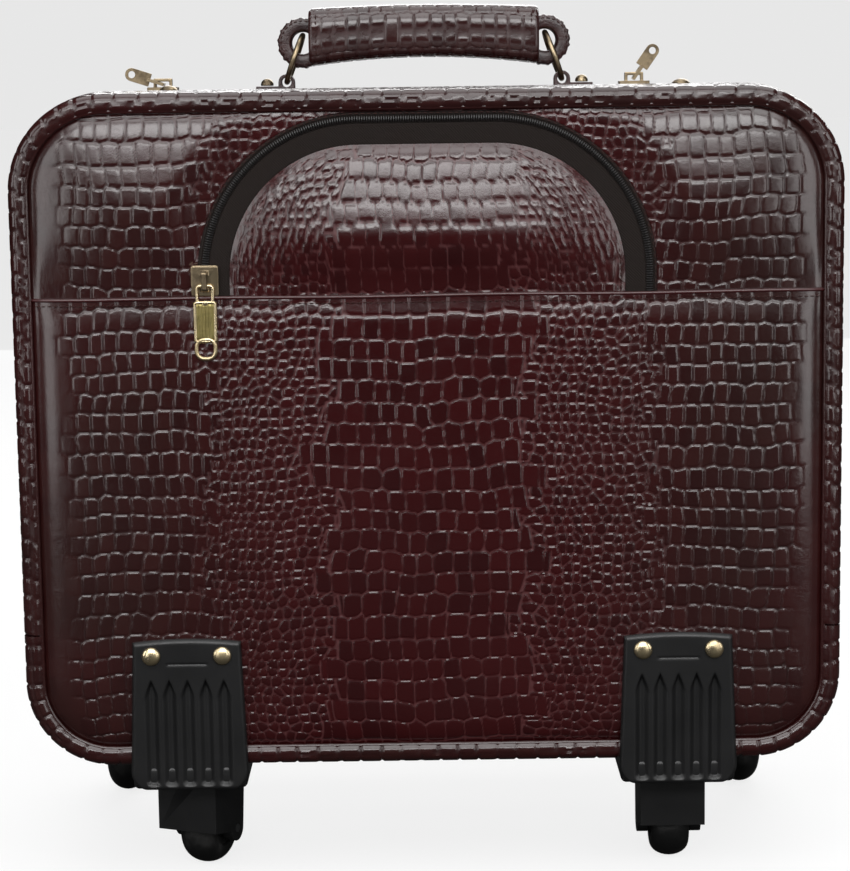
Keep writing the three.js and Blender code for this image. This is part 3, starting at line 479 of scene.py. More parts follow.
def hide(across, up, seed=1.0, width=1.0):
    """Height of the embossing (0 in a crease, 1 on a scale), with crease, tone and flank layers.
    From the middle line out: belly scales in rows, small round grains two to a row, upright flank scales,
    and a smooth edge. Columns narrow and widen smoothly, and each zone ends on a column's border."""
    x = across / width + 2.6 * wave(up, across, seed) + 1.1 * wave(up * 3.1, across * 2, seed + 3)
    u = np.sign(x) * np.interp(np.abs(x), REACH, COUNT)
    v = (up + 2.2 * wave(across * 1.3, up, seed + 1) + 1.0 * wave(across * 3.4, up * 2, seed + 2)) / ROW
    belly, in_belly, tone_a = scales(u, v, (0.42, 0.16), 4.6, 1.0, seed)
    grains, in_grains, tone_b = scales(u, v * 2.15, (0.6, 0.55), 2.3, 1.0, seed + 10)
    flank, in_flank, tone_c = scales(u, v * 1.06, (0.30, 0.18), 4.4, 1.0, seed + 20)
    row = np.floor(v)
    edge = np.abs(u) + 0.7 * wave(up * 2, across, seed + 4)
    first = BELLY_END + 2.4 * (chance(row, np.sign(u), seed + 6) - 0.5)
    last = GRAINS_END + 2.6 * (chance(np.floor(v * 2), np.sign(u), seed + 8) - 0.5)
    is_belly, is_flank = edge < first, edge >= last
    apart = np.where(is_belly, belly, np.where(is_flank, flank, grains))
    inside = np.where(is_belly, in_belly, np.where(is_flank, in_flank, in_grains))
    tone = np.where(is_belly, tone_a, np.where(is_flank, tone_c, tone_b))
    border = np.minimum(np.abs(edge - first), np.abs(edge - last))
    wide = np.where(is_belly, 0.15, np.where(is_flank, 0.18, 0.27))
    raised = smooth(apart, 0.0, wide) * smooth(border, 0.0, 0.14)
    plain = smooth(edge, FLANK_END - 0.6, FLANK_END + 0.9)
    raised = raised * (1 - plain) + plain
    crown = np.clip(1 - (inside / 0.62) ** 2, -0.2, 1) * (1 - plain)
    depth = np.where(is_belly, 0.40, np.where(is_flank, 0.50, 0.42))
    # flank also moves the crease colour from the pale painted highlight of the middle to the dark painted shade of
    # the flanks.
    flanked = smooth(np.abs(across), 60, 185)
    layers = {"crease": 1 - raised, "tone": tone, "flank": flanked}
    return raised * depth + 0.10 * crown, layers


def flat_layers(layers, extra):
    """Each layer in a row, with `extra` plain points added at its end."""
    return {key: np.concatenate([value.ravel(), np.full(extra, 0.3)]) for key, value in layers.items()}


def upright_rows(bottom, top, pitch, corner=0.0):
    """Heights from bottom to top, closer together where a corner of this radius rounds the lower end."""
    if not corner:
        return np.linspace(bottom, top, max(2, int((top - bottom) / pitch) + 1))
    turn = np.linspace(0, math.pi / 2, int(corner * 1.6 / pitch) + 2)
    curved = bottom + corner * (1 - np.cos(turn))
    return np.concatenate([curved[:-1], np.linspace(curved[-1], top, int((top - curved[-1]) / pitch) + 1)])


def half_width(z, inset):
    """Half the body's width at a height, moved in by inset."""
    top, foot = TOP - inset, FOOT + inset
    top_round, foot_round = TOP_ROUND - inset, FOOT_ROUND - inset
    into_top = np.clip(z - (top - top_round), 0, top_round)
    into_foot = np.clip(foot + foot_round - z, 0, foot_round)
    lost = top_round - np.sqrt(top_round ** 2 - into_top ** 2)
    lost += foot_round - np.sqrt(foot_round ** 2 - into_foot ** 2)
    return HALF - inset - lost


def face_sheet(z, inset, depth, pitch, seed, facing=-1, backing=0.0, part=(-1, 1)):
    """A padded face: x = u * half width(z) across, its depth a function of x and z, embossed along its normal."""
    across = np.linspace(*part, int((part[1] - part[0]) * HALF / pitch))
    zz = np.repeat(z[:, None], len(across), 1)
    xx = across[None, :] * half_width(zz, inset)
    relief, layers = hide(xx, zz, seed)
    fade = smooth(body_distance(xx, zz), inset, inset + 5)
    yy = depth(xx, zz) + facing * relief * (0.25 + 0.75 * fade)
    points, faces = lidded(np.stack([xx, yy, zz], -1), lambda p: p * (1, 0, 1) + (0, backing, 0))
    border = len(points) - xx.size
    return points, faces, flat_layers(layers, border)


# ------------------------------------------------------------------ front faces
PAD_RISE = 5.2                            # how far the padded pocket stands off the front face
UPPER_RISE = 6.0                          # how far the face swells beside the arched pocket
BOARD_BACK = high("front_panel")[1]


def front_lower():
    """The patch pocket's face, from its hem down to the foot, in two halves."""
    def depth(x, z):
        edge = np.maximum(body_distance(x, z) - GROOVE, 0)
        hem = np.maximum(SEAM - z, 0)
        puff = 0.62 * (1 - np.exp(-edge / 6)) + 0.38 * (1 - np.exp(-edge / 45))
        sag = 0.5 * np.sin(x / 61) * np.sin(z / 47) * smooth(edge, 0, 30)
        return FRONT - 0.4 - PAD_RISE * puff * (0.8 + 0.2 * smooth(hem, 0, 14)) - sag

    rows = upright_rows(FOOT + GROOVE, SEAM, 0.82, FOOT_ROUND - GROOVE)
    for name, part in (("left", (-1, 0)), ("right", (0, 1))):
        points, faces, layers = face_sheet(rows, GROOVE, depth, 0.78, 1.0, backing=FRONT + 4, part=part)
        obj = Piece().shell(points, faces, layers, LINED).build(
            f"front_pocket_leather_{name}", [LEATHER, LINING], None, ["pocket_panel"] if name == "left" else ())
        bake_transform(obj)


def pocket_hem():
    """The rolled hem along the pocket's mouth, with a row of stitches below it."""
    reach = half_width(np.array([SEAM]), GROOVE)[0] - 0.6
    x = np.linspace(-reach, reach, 300)
    edge = np.maximum(body_distance(x, np.full(x.shape, SEAM)) - GROOVE, 0)
    y = FRONT - 0.6 - PAD_RISE * 0.8 * (0.62 * (1 - np.exp(-edge / 6)) + 0.38 * (1 - np.exp(-edge / 45)))
    line = np.stack([x, y - 0.1, SEAM + 0.25 * np.sin(x / 23)], -1)
    points, faces = bent_wire(line, 0.95, 10, closed=False)
    index = np.arange(len(points)).reshape(len(line), 10)
    faces += [consistent(faces[0], index[:1]), consistent(faces[0], index[-1:])]
    # crease 0.55 with flank 0 lightens the hem towards the pale crease pink: partly a paler edge colour, partly a
    # painted highlight along the hem.
    layers = {"crease": 0.55, "tone": 0.9, "flank": 0.0}
    Piece().shell(points, faces, layers).build("pocket_hem", LEATHER, "front_wall")
    count = int(2 * reach / 3.1)
    at = np.linspace(-reach + 3, reach - 3, count)
    where = np.stack([at, np.interp(at, x, y) - 0.75, np.full(count, SEAM - 3.2)], -1)
    axes = [np.tile(axis, (count, 1)) for axis in ((1.0, 0, 0), (0, 0, 1.0), (0, -1.0, 0))]
    beads(where, axes[0], axes[1], axes[2], (1.1, 0.32, 0.32)).build("pocket_hem_stitches", THREAD, "front_wall")


def arch_inside(x, z, inset):
    """Distance inside the arch's outline moved in by inset; the arch has no lower edge."""
    middle = (0.0, 0.0)
    return rounded_distance(x, z, middle, (ARCH_HALF - inset, ARCH_TOP - inset), ARCH_ROUND - inset)


def front_upper():
    """The face above the hem; it swells at both sides of the arched pocket and leans back towards the top."""
    def depth(x, z):
        edge = np.maximum(body_distance(x, z) - GROOVE, 0)
        arch = arch_inside(x, z, 0)
        beside = smooth(-arch, -0.5, 26) * (0.3 + 0.7 * smooth(z, SEAM - 4, SEAM + 46))
        puff = 0.40 * (1 - np.exp(-edge / 6)) + 0.60 * smooth(edge, 0, 52)
        return FRONT - 0.3 - UPPER_RISE * puff * beside + 1.7 * smooth(arch, 0, 2)

    top_rows = TOP - GROOVE - (TOP_ROUND - GROOVE) * (1 - np.sin(np.linspace(0, math.pi / 2, 62)))
    rows = np.concatenate([upright_rows(SEAM - 6, top_rows[0], 0.8), top_rows[1:]])
    for name, part in (("left", (-1, 0)), ("right", (0, 1))):
        points, faces, layers = face_sheet(rows, GROOVE, depth, 0.8, 4.0, backing=FRONT + 4, part=part)
        Piece().shell(points, faces, layers, LINED).build(
            f"front_upper_leather_{name}", [LEATHER, LINING], "front_wall", ["front_panel"] if name == "left" else ())


def arch_half(z, inset):
    """Half the arch's width at a height, moved in by inset."""
    corner = ARCH_ROUND - inset
    into = np.clip(z - (ARCH_TOP - inset - corner), 0, corner)
    return ARCH_HALF - inset - corner + np.sqrt(corner ** 2 - into ** 2)


FLAP_RISE = 8.5


def pocket_flap():
    """The arched pocket's front: a shallow cushion between the zip tape's legs."""
    inset = TAPE - 0.6
    corner = ARCH_ROUND - inset
    turn = np.linspace(0, math.pi / 2, 56)
    curved = ARCH_TOP - inset - corner + corner * np.sin(turn)
    rows = np.concatenate([np.arange(SEAM - 1, curved[0], 0.8), curved])
    across = np.linspace(-1, 1, 262)
    zz = np.repeat(rows[:, None], len(across), 1)
    xx = across[None, :] * arch_half(zz, inset)
    edge = np.maximum(arch_inside(xx, zz, inset), 0)
    relief, layers = hide(xx, zz, 7.0, 0.85)
    rise = FLAP_RISE * (0.35 * (1 - np.exp(-edge / 5)) + 0.65 * smooth(edge, 0, 58))
    rise *= 0.16 + 0.84 * smooth(zz, SEAM - 2, SEAM + 34)          # it goes in behind the hem
    yy = FRONT - 1.9 - rise - relief * smooth(edge, 0, 4)
    points, faces = lidded(np.stack([xx, yy, zz], -1), lambda p: p * (1, 0, 1) + (0, FRONT - 0.3, 0))
    layers = flat_layers(layers, len(points) - xx.size)
    Piece().shell(points, faces, layers, LINED).build(
        "pocket_flap_leather", [LEATHER, LINING], "front_wall", ["pocket_flap"])


# ------------------------------------------------------------------ sweeps along an outline


class Path:
    """A chain of straight runs and arcs in X and Z: gives points and outward normals at given lengths."""

    def __init__(self):
        self.parts, self.length = [], 0.0

    def run(self, start, end):
        start, end = np.array(start, float), np.array(end, float)
        size = np.hypot(*(end - start))
        self.parts.append((self.length, size, "run", start, (end - start) / size))
        self.length += size
        return self

    def arc(self, centre_point, radius, start, end):
        size = abs(end - start) * radius
        self.parts.append((self.length, size, "arc", (np.array(centre_point, float), radius), (start, end)))
        self.length += size
        return self

    def at(self, lengths):
        """Points and normals; the normal is to the right of the way that the path goes."""
        lengths = np.asarray(lengths, float)
        points, normals = np.zeros((len(lengths), 2)), np.zeros((len(lengths), 2))
        for start, size, kind, first, second in self.parts:
            here = (lengths >= start - 1e-9) & (lengths <= start + size + 1e-9)
            t = (lengths[here] - start) / size
            if kind == "run":
                points[here] = first + np.outer(t * size, second)
                normals[here] = (second[1], -second[0])
            else:
                turn = second[0] + (second[1] - second[0]) * t
                spoke = np.stack([np.cos(turn), np.sin(turn)], -1)
                points[here] = first[0] + first[1] * spoke
                normals[here] = spoke * np.sign(second[1] - second[0])
        return points, normals


def body_path(inset=0.0):
    """The body's outline from the middle of its foot, up its right side, over the top and back down."""
    w, top, foot = HALF - inset, TOP - inset, FOOT + inset
    tr, fr = TOP_ROUND - inset, FOOT_ROUND - inset
    quarter = math.pi / 2
    path = Path().run((0, foot), (w - fr, foot)).arc((w - fr, foot + fr), fr, -quarter, 0)
    path.run((w, foot + fr), (w, top - tr)).arc((w - tr, top - tr), tr, 0, quarter)
    path.run((w - tr, top), (-w + tr, top)).arc((-w + tr, top - tr), tr, quarter, 2 * quarter)
    path.run((-w, top - tr), (-w, foot + fr)).arc((-w + fr, foot + fr), fr, 2 * quarter, 3 * quarter)
    return path.run((-w + fr, foot), (0, foot))


def side_length(height, inset=0.0):
    """How far along the body's path its right side reaches a height."""
    return HALF - FOOT_ROUND + (FOOT_ROUND - inset) * math.pi / 2 + height - (FOOT + FOOT_ROUND)


def swept(path, lengths, profile, closed_path=False, lift=None):
    """A closed profile of (inset, y) pairs carried along a path; lift pushes each point out along the profile."""
    points, normals = path.at(lengths)
    inset, depth = profile[:, 0][None, :], profile[:, 1][None, :]
    x = points[:, :1] - normals[:, :1] * inset
    z = points[:, 1:] - normals[:, 1:] * inset
    grid = np.stack([x, np.broadcast_to(depth, x.shape), z], -1)
    if lift is not None:
        amount, inward, ahead = lift
        grid[..., 0] += normals[:, :1] * amount * inward
        grid[..., 2] += normals[:, 1:] * amount * inward
        grid[..., 1] += amount * ahead
    rows, columns = grid.shape[:2]
    faces = [grid_faces(rows, columns, closed_path, True)]
    if not closed_path:
        index = np.arange(rows * columns).reshape(rows, columns)
        faces += [index[:1], index[-1:, ::-1]]
    return grid.reshape(-1, 3), faces


def edge_profile(y_face, y_end, facing, pitch, groove=GROOVE):
    """The rolled edge and the side wall: from the groove on a face, round the roll, along the side.
    Gives the (inset, y) pairs, their outward direction, and the length along the profile."""
    turn = np.linspace(-0.42 * math.pi / 2, math.pi / 2, int(ROLL * 2.2 / pitch) + 2)
    centre_y = y_face - facing * (ROLL - 4.2)
    roll = np.stack([ROLL - ROLL * np.sin(turn), centre_y + facing * ROLL * np.cos(turn)], -1)
    lip = np.array([[groove + 0.6, y_face - facing * 0.8], [groove - 0.6, y_face + facing * 0.6]])
    wall_y = np.linspace(centre_y, y_end, int(abs(y_end - centre_y) / pitch) + 2)[1:]
    bulge = -1.1 * np.sin(np.pi * np.abs(wall_y - centre_y) / abs(y_end - centre_y))
    wall = np.stack([bulge, wall_y], -1)
    line = np.vstack([lip, roll, wall])
    step = np.gradient(line, axis=0)
    step /= np.hypot(step[:, 0], step[:, 1])[:, None]
    out = np.stack([step[:, 1], -step[:, 0]], -1) * facing
    along = np.concatenate([[0], np.cumsum(np.hypot(*np.diff(line, axis=0).T))])
    return line, out, along


def leather_band(name, lengths, y_face, y_end, facing, body, nodes, seed, closed=False, pitch=1.25, thick=5.0):
    """A rolled edge with its side wall, swept round the body and embossed; its inside is lining."""
    line, out, along = edge_profile(y_face, y_end, facing, pitch)
    inside = np.array([[thick, y_end], [thick, y_face - facing * 6.0], [GROOVE + 0.6, y_face - facing * 6.0]])
    profile = np.vstack([line, inside])
    path = body_path()
    rows = len(lengths)
    s = np.repeat(lengths[:, None], len(line), 1)
    t = np.repeat(along[None, :], rows, 0)
    raised, _, tone = scales(s / 10.6 + 0.25 * wave(t, s, seed), t / 8.4 + 0.2 * wave(s, t, seed + 2),
                                  (0.3, 0.2), 4.0, 1.0, seed)
    height = smooth(raised, 0.0, 0.22)
    ends = smooth(t, 1.5, 5.0) * smooth(along[-1] - t, 0.0, 3.0)
    pad = np.zeros((rows, len(inside)))
    amount = np.hstack([0.75 * height * ends, pad])
    direction = np.vstack([out, np.zeros((len(inside), 2))])
    lift = (amount, -direction[None, :, 0], direction[None, :, 1])
    points, faces = swept(path, lengths, profile, closed, lift)
    layers = {"crease": np.hstack([1 - height, pad]).ravel(), "tone": np.hstack([tone, pad]).ravel(),
              "flank": np.full(rows * len(profile), 0.85)}
    piece = Piece()
    columns = len(profile)
    quads = faces[0].reshape(-1, columns, 4)
    outer = quads[:, :len(line) - 1].reshape(-1, 4)
    inner = quads[:, len(line) - 1:].reshape(-1, 4)
    piece.shell(points, [outer, inner] + faces[1:], layers, [0, 1] + [0] * (len(faces) - 1))
    return piece.build(name, [LEATHER, LINING], body, nodes)


def bands():
    pitch = 1.25
    whole = body_path().length
    up = side_length(FOLD)
    lower_right = np.linspace(0, up - 0.4, int(up / pitch))
    lower = np.concatenate([whole - lower_right[::-1], whole + lower_right[1:]]) % whole
    leather_band("lower_edge_leather", lower, FRONT, GUSSET_FRONT, -1, "case", ["front_base"], 31.0)
    upper = np.linspace(up + 0.4, whole - up - 0.4, int((whole - 2 * up) / pitch))
    leather_band("upper_edge_leather", upper, FRONT, RIM_BACK, -1, "front_wall", ["front_rim"], 33.0)


def gusset():
    """The body's side wall behind the zip, with the rolled edge at the back; open over the trolley's socket."""
    path = body_path()
    pitch = 2.1
    rows = np.linspace(0, path.length, int(path.length / pitch), endpoint=False)
    line, out, along = edge_profile(BACK, GUSSET_FRONT, 1, pitch)
    lengths = rows
    points, normals = path.at(lengths)
    s = np.repeat(lengths[:, None], len(line), 1)
    t = np.repeat(along[None, :], len(lengths), 0)
    raised, _, tone = scales(s / 9.6 + 0.25 * wave(t, s, 51.0), t / 9.2 + 0.2 * wave(s, t, 53.0),
                                  (0.3, 0.2), 4.0, 1.0, 51.0)
    height = smooth(raised, 0.0, 0.22) * smooth(t, 1.5, 5.0) * smooth(along[-1] - t, 0.0, 3.0)
    thick = 5.0
    inside = np.array([[thick, GUSSET_FRONT], [thick, BACK - 6.0], [GROOVE + 0.6, BACK - 6.0]])
    profile = np.vstack([line, inside])
    pad = np.zeros((len(lengths), len(inside)))
    direction = np.vstack([out, np.zeros((len(inside), 2))])
    lift = (np.hstack([0.5 * height, pad]), -direction[None, :, 0], direction[None, :, 1])
    grid, faces = swept(path, lengths, profile, True, lift)
    layers = {"crease": np.hstack([1 - height, pad]).ravel(), "tone": np.hstack([tone, pad]).ravel(),
              "flank": np.full(len(grid), 0.85)}
    quads = faces[0].reshape(-1, len(profile), 4)
    outer = quads[:, :len(line) - 1].reshape(-1, 4)
    inner = quads[:, len(line) - 1:].reshape(-1, 4)
    obj = Piece().shell(grid, [outer, inner], layers, [0, 1]).build(
        "gusset_leather", [LEATHER, LINING], "case", ["rear_gusset"])
    opening = Piece().shell(*rounded_block(
        (SOCKET_LOW[0] - 0.2, SOCKET_HIGH[0] + 0.2), (SOCKET_LOW[1] - 0.2, SOCKET_HIGH[1] + 0.1),
        (TOP - 14, TOP + 14), 0.5)).build("socket_opening", [LEATHER], "case")
    cut = obj.modifiers.new("socket_opening", "BOOLEAN")
    cut.operation, cut.object, cut.solver = "DIFFERENCE", opening, "EXACT"
    apply_modifiers(obj)
    bpy.data.objects.remove(opening)


def apply_modifiers(obj):
    """Makes the modifiers' result the object's own mesh."""
    evaluated = obj.evaluated_get(bpy.context.evaluated_depsgraph_get())
    mesh = bpy.data.meshes.new_from_object(evaluated)
    obj.modifiers.clear()
    obj.data = mesh


def rounded_block(xs, ys, zs, radius, steps=3):
    """A box with rounded edges: a sphere's grid of directions pushed out to the box's smaller core."""
    low_corner = np.array([xs[0], ys[0], zs[0]]) + radius
    high_corner = np.array([xs[1], ys[1], zs[1]]) - radius
    turn = np.linspace(0, math.pi / 2, steps + 1)
    around = np.concatenate([turn + quarter * math.pi / 2 for quarter in range(4)])
    rise = np.concatenate([turn - math.pi / 2, turn])
    spin, tilt = np.meshgrid(around, rise)
    spoke = np.stack([np.cos(tilt) * np.cos(spin), np.cos(tilt) * np.sin(spin), np.sin(tilt)], -1)
    quarter_of = np.repeat(np.arange(4), steps + 1)
    core = np.zeros(spoke.shape)
    core[..., 0] = np.where(np.isin(quarter_of, (0, 3)), high_corner[0], low_corner[0])[None, :]
    core[..., 1] = np.where(np.isin(quarter_of, (0, 1)), high_corner[1], low_corner[1])[None, :]
    core[..., 2] = np.where(np.repeat([False, True], steps + 1), high_corner[2], low_corner[2])[:, None]
    grid = core + radius * spoke
    rows, columns = grid.shape[:2]
    index = np.arange(rows * columns).reshape(rows, columns)
    faces = [grid_faces(rows, columns, False, True), index[:1], index[-1:]]
    faces[1] = faces[1][:, ::-1]
    return grid.reshape(-1, 3), faces


def back_panel():
    """The padded back, inside its piping."""
    def depth(x, z):
        edge = np.maximum(body_distance(x, z) - GROOVE, 0)
        return BACK + 0.3 + 3.2 * (1 - np.exp(-edge / 9))

    foot_rows = upright_rows(FOOT + GROOVE, TOP - TOP_ROUND, 1.6, FOOT_ROUND - GROOVE)
    top_rows = TOP - GROOVE - (TOP_ROUND - GROOVE) * (1 - np.sin(np.linspace(0, math.pi / 2, 36)))[1:]
    points, faces, layers = face_sheet(np.concatenate([foot_rows, top_rows]), GROOVE, depth, 1.7, 9.0,
                                       facing=1, backing=BACK - 4)
    Piece().shell(points, faces, layers, LINED).build("back_leather", [LEATHER, LINING], "case", ["back_panel"])


def tube_ring(radius, flat=1.0, count=10):
    """A round cord's section as (inset, y) offsets."""
    turn = np.arange(count) * 2 * math.pi / count
    return np.stack([radius * np.cos(turn), radius * flat * np.sin(turn)], -1)


PIPE_INSET, PIPE_RADIUS = 8.6, 1.45


def pipings():
    """Leather-covered cord in the groove inside the rolled edge, in front and behind."""
    path = body_path()
    rows = np.linspace(0, path.length, 460, endpoint=False)
    twist = 0.06 * np.sin(rows * 1.3)[:, None]
    for name, y, nodes in (("front_piping_cord", FRONT - 2.0, ["front_piping_lower", "front_piping_upper"]),
                           ("rear_piping_cord", BACK + 2.0, ["rear_piping"])):
        profile = tube_ring(PIPE_RADIUS) + (PIPE_INSET, y)
        points, faces = swept(path, rows, profile, True,
                              (np.broadcast_to(twist, (len(rows), len(profile))), 1.0, 0.0))
        layers = {"crease": 0.0, "tone": 0.55, "flank": 0.9}
        obj = Piece().shell(points, faces, layers).build(name, LEATHER, None if "front" in name else "case", nodes)
        if "front" in name:
            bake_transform(obj)


# ------------------------------------------------------------------ zips


def arch_path(inset):
    """The arch from its right foot over the top to its left foot."""
    w, top, corner = ARCH_HALF - inset, ARCH_TOP - inset, ARCH_ROUND - inset
    path = Path().run((w, SEAM - 2), (w, top - corner)).arc((w - corner, top - corner), corner, 0, math.pi / 2)
    path.run((w - corner, top), (-w + corner, top))
    path.arc((-w + corner, top - corner), corner, math.pi / 2, math.pi)
    return path.run((-w, top - corner), (-w, SEAM - 2))


COIL_INSET = 4.0


def pocket_zip():
    """The pocket's tape with its ribbed edge, and the nylon coil down the outer side of it."""
    path = arch_path(0)
    rows = np.linspace(0, path.length, 300)
    inset = np.array([0, 0.5, 1.6, 2.2, 5.8, 6.4, 15.4, 16.6, TAPE, TAPE, 0])
    depth = FRONT - np.array([0.4, 1.5, 1.7, 1.2, 1.2, 1.7, 1.5, 1.4, 0.9, 0.1, 0.1])
    points, faces = swept(path, rows, np.stack([inset, depth], -1))
    Piece().shell(points, faces).build("pocket_tape", TAPE_CLOTH, "front_wall", ["pocket_zip_tape"], "zip_cloth")
    coil = path_teeth(arch_path(COIL_INSET), FRONT - 1.8, 1.25, 1.9, 0.55, 0.9)
    coil.build("pocket_zip_coil", ZIP_TEETH, "front_wall", (), "zip_cloth")
    for name, at in (("outer", 0.9), ("inner", TAPE + 1.6)):
        stitches(arch_path(at), FRONT - (2.2 if name == "outer" else 2.9), 3.2, 0.35, keep=clear_of_slider).build(
            f"pocket_{name}_stitches", THREAD, "front_wall", (), "zip_cloth")


def bead(count=6, rows=5):
    """A unit rounded bead: a squashed sphere's grid, closed at both ends by small faces."""
    rise = np.linspace(-0.42 * math.pi, 0.42 * math.pi, rows)
    turn = np.arange(count) * 2 * math.pi / count
    grid = np.stack([np.repeat(np.sin(rise)[:, None], count, 1), np.outer(np.cos(rise), np.cos(turn)),
                     np.outer(np.cos(rise), np.sin(turn))], -1)
    index = np.arange(rows * count).reshape(rows, count)
    return grid.reshape(-1, 3), [grid_faces(rows, count, False, True), index[:1, ::-1], index[-1:]]


def beads(points, along, across, out, size):
    """One bead at each point: its long axis `along`, its width `across`, its height `out`."""
    unit, faces = bead()
    long, wide, tall = size
    all_points = (points[:, None] + unit[None, :, :1] * along[:, None] * long
                  + unit[None, :, 1:2] * across[:, None] * wide + unit[None, :, 2:] * out[:, None] * tall)
    count = len(unit)
    starts = np.arange(len(points)) * count
    blocks = [(block[None] + starts[:, None, None]).reshape(-1, block.shape[1]) for block in faces]
    return Piece().shell(all_points, blocks)


def path_frames(path, y, pitch, facing=-1):
    """Points evenly along a path with their directions along it, outward from it, and out of its face."""
    count = max(2, int(path.length / pitch))
    lengths = (np.arange(count) + 0.5) * path.length / count
    flat, normals = path.at(lengths)
    points = np.stack([flat[:, 0], np.full(count, y), flat[:, 1]], -1)
    across = np.stack([normals[:, 0], np.zeros(count), normals[:, 1]], -1)
    along = np.stack([-normals[:, 1], np.zeros(count), normals[:, 0]], -1)
    out = np.tile((0.0, facing, 0.0), (count, 1))
    return points, along, across, out


def path_teeth(path, y, pitch, half_length, half_wide, tall):
    """Zip teeth or coil turns lying across a path."""
    points, along, across, out = path_frames(path, y, pitch)
    return beads(points, across, along, out, (half_length, half_wide, tall))


def stitches(path, y, pitch, radius, facing=-1, keep=lambda points: points[:, 0] < math.inf):
    """Thread stitches lying along a path, with a gap between each; `keep` says which of them are sewn."""
    points, along, across, out = path_frames(path, y, pitch, facing)
    kept = keep(points)
    return beads(points[kept], along[kept], across[kept], out[kept], (pitch * 0.36, radius, radius))


def clear_of_slider(points):
    """Whether each point lies clear of the pocket slider wherever it runs."""
    return (points[:, 0] > 0) | (points[:, 2] > high("pocket_slider")[2] + 18)


ZIP_TEETH = moulded_plastic("zip_teeth", (0.0045, 0.0035, 0.0035), 0.30)
THREAD = woven_cloth("waxed_thread", (0.014, 0.004, 0.004), (0.045, 0.018, 0.015), 900)


def main_zip():
    """Both tapes' teeth run round the top and sides in the gap between the rim and the gusset."""
    whole = body_path().length
    up = side_length(FOLD) + 1
    path = body_path(0.2)
    middle = (RIM_BACK + GUSSET_FRONT) / 2
    pitch = 2.4
    count = int((whole - 2 * up) / pitch)
    lengths = np.linspace(up, path.length - up, count)
    for name, offset, body in (("front", -0.75, "front_wall"), ("rear", 0.75, "case")):
        shifted = lengths + (pitch / 2 if name == "rear" else 0) * (lengths < lengths[-1])
        flat, normals = path.at(shifted)
        points = np.stack([flat[:, 0], np.full(count, middle + offset), flat[:, 1]], -1)
        out = np.stack([normals[:, 0], np.zeros(count), normals[:, 1]], -1)
        along = np.stack([-normals[:, 1], np.zeros(count), normals[:, 0]], -1)
        across = np.tile((0.0, 1.0, 0.0), (count, 1))
        beads(points, across, along, out, (1.25, 0.75, 0.9)).build(
            f"main_zip_teeth_{name}", OLD_BRASS, body, (), "antique_brass")


# ------------------------------------------------------------------ turned and bent hardware


def turned(profile, start, axis, count=40):
    """A closed turned solid: profile pairs are (radius, distance along the axis), from axis to axis or closed."""
    profile = np.asarray(profile, float)
    axis = np.array(axis, float)
    side = np.cross(axis, (0.0, 0.0, 1.0) if abs(axis[2]) < 0.9 else (1.0, 0.0, 0.0))
    side /= np.linalg.norm(side)
    up = np.cross(axis, side)
    turn = np.arange(count) * 2 * math.pi / count
    spoke = np.outer(np.cos(turn), side) + np.outer(np.sin(turn), up)
    looped = profile[0, 0] > 0
    body = profile if looped else profile[1:-1]
    grid = np.array(start) + body[None, :, :1] * spoke[:, None] + body[None, :, 1:] * axis
    faces = [grid_faces(count, len(body), True, looped)]
    points = grid.reshape(-1, 3)
    if not looped:
        ends = np.array(start) + np.outer(profile[[0, -1], 1], axis)
        index = np.arange(count * len(body)).reshape(count, len(body))
        for number, column in ((0, 0), (1, -1)):
            ring = index[:, column]
            tip = np.full(count, len(points) + number)
            fan = np.stack([ring, np.roll(ring, -1), tip], -1)
            faces.append(fan if number else fan[:, ::-1])
        points = np.vstack([points, ends])
        faces[1:] = [consistent(faces[0], fan) for fan in faces[1:]]
    return points, faces


def consistent(quads, fan):
    """The fan, turned over if it uses any shared edge the same way round as the quads do."""
    edges = {(int(a), int(b)) for a, b in quads[:, [0, 1]]} | {(int(a), int(b)) for a, b in quads[:, [1, 2]]}
    edges |= {(int(a), int(b)) for a, b in quads[:, [2, 3]]} | {(int(a), int(b)) for a, b in quads[:, [3, 0]]}
    return fan[:, ::-1] if (int(fan[0, 0]), int(fan[0, 1])) in edges else fan


def dome(radius, rise, rim=0.6):
    """A rivet head's profile: flat back, short rim, quarter-ellipse dome."""
    turn = np.linspace(0, math.pi / 2, 9)
    curve = np.stack([radius * np.cos(turn), rim + (rise - rim) * np.sin(turn)], -1)
    return np.vstack([[0, 0], [radius - 0.3, 0], [radius, 0.3], curve[:-1], [0, rise]])


def rivets():
    for name, _ in SIDES:
        for place in ("outer", "inner"):
            node = f"guard_rivet_{name}_{place}"
            middle, head = centre(node), high(node)[0] - low(node)[0]
            start = (middle[0], low("guard_left")[1] - 0.1, middle[2])
            Piece().shell(*turned(dome(head / 2 - 0.1, 2.8), start, (0, -1, 0))).build(
                f"guard_rivet_head_{name}_{place}", BRASS, "case", [node], "bright_brass")
        for node, body in ((f"top_stud_{name}", "front_wall"), (f"chape_rivet_{name}", "case")):
            middle, top = centre(node), high(node)
            radius = (top[0] - low(node)[0]) / 2
            seat = top[2] - 2.5
            Piece().shell(*turned(dome(radius, 4.0), (middle[0], middle[1], seat), (0, 0, 1))).build(
                f"{node}_head", OLD_BRASS, body, [node], "antique_brass")


def bent_wire(line, radius, count=12, closed=True, flat=1.0, up=(0.0, 1.0, 0.0)):
    """A wire of round section along a closed line of points lying in a plane with normal `up`."""
    line = np.asarray(line, float)
    along = np.roll(line, -1, 0) - np.roll(line, 1, 0) if closed else np.gradient(line, axis=0)
    along /= np.linalg.norm(along, axis=1)[:, None]
    up = np.tile(up, (len(line), 1))
    side = np.cross(along, up)
    turn = np.arange(count) * 2 * math.pi / count
    grid = line[:, None] + radius * (np.cos(turn)[None, :, None] * side[:, None]
                                     + flat * np.sin(turn)[None, :, None] * up[:, None])
    return grid.reshape(-1, 3), [grid_faces(len(line), count, closed, True)]


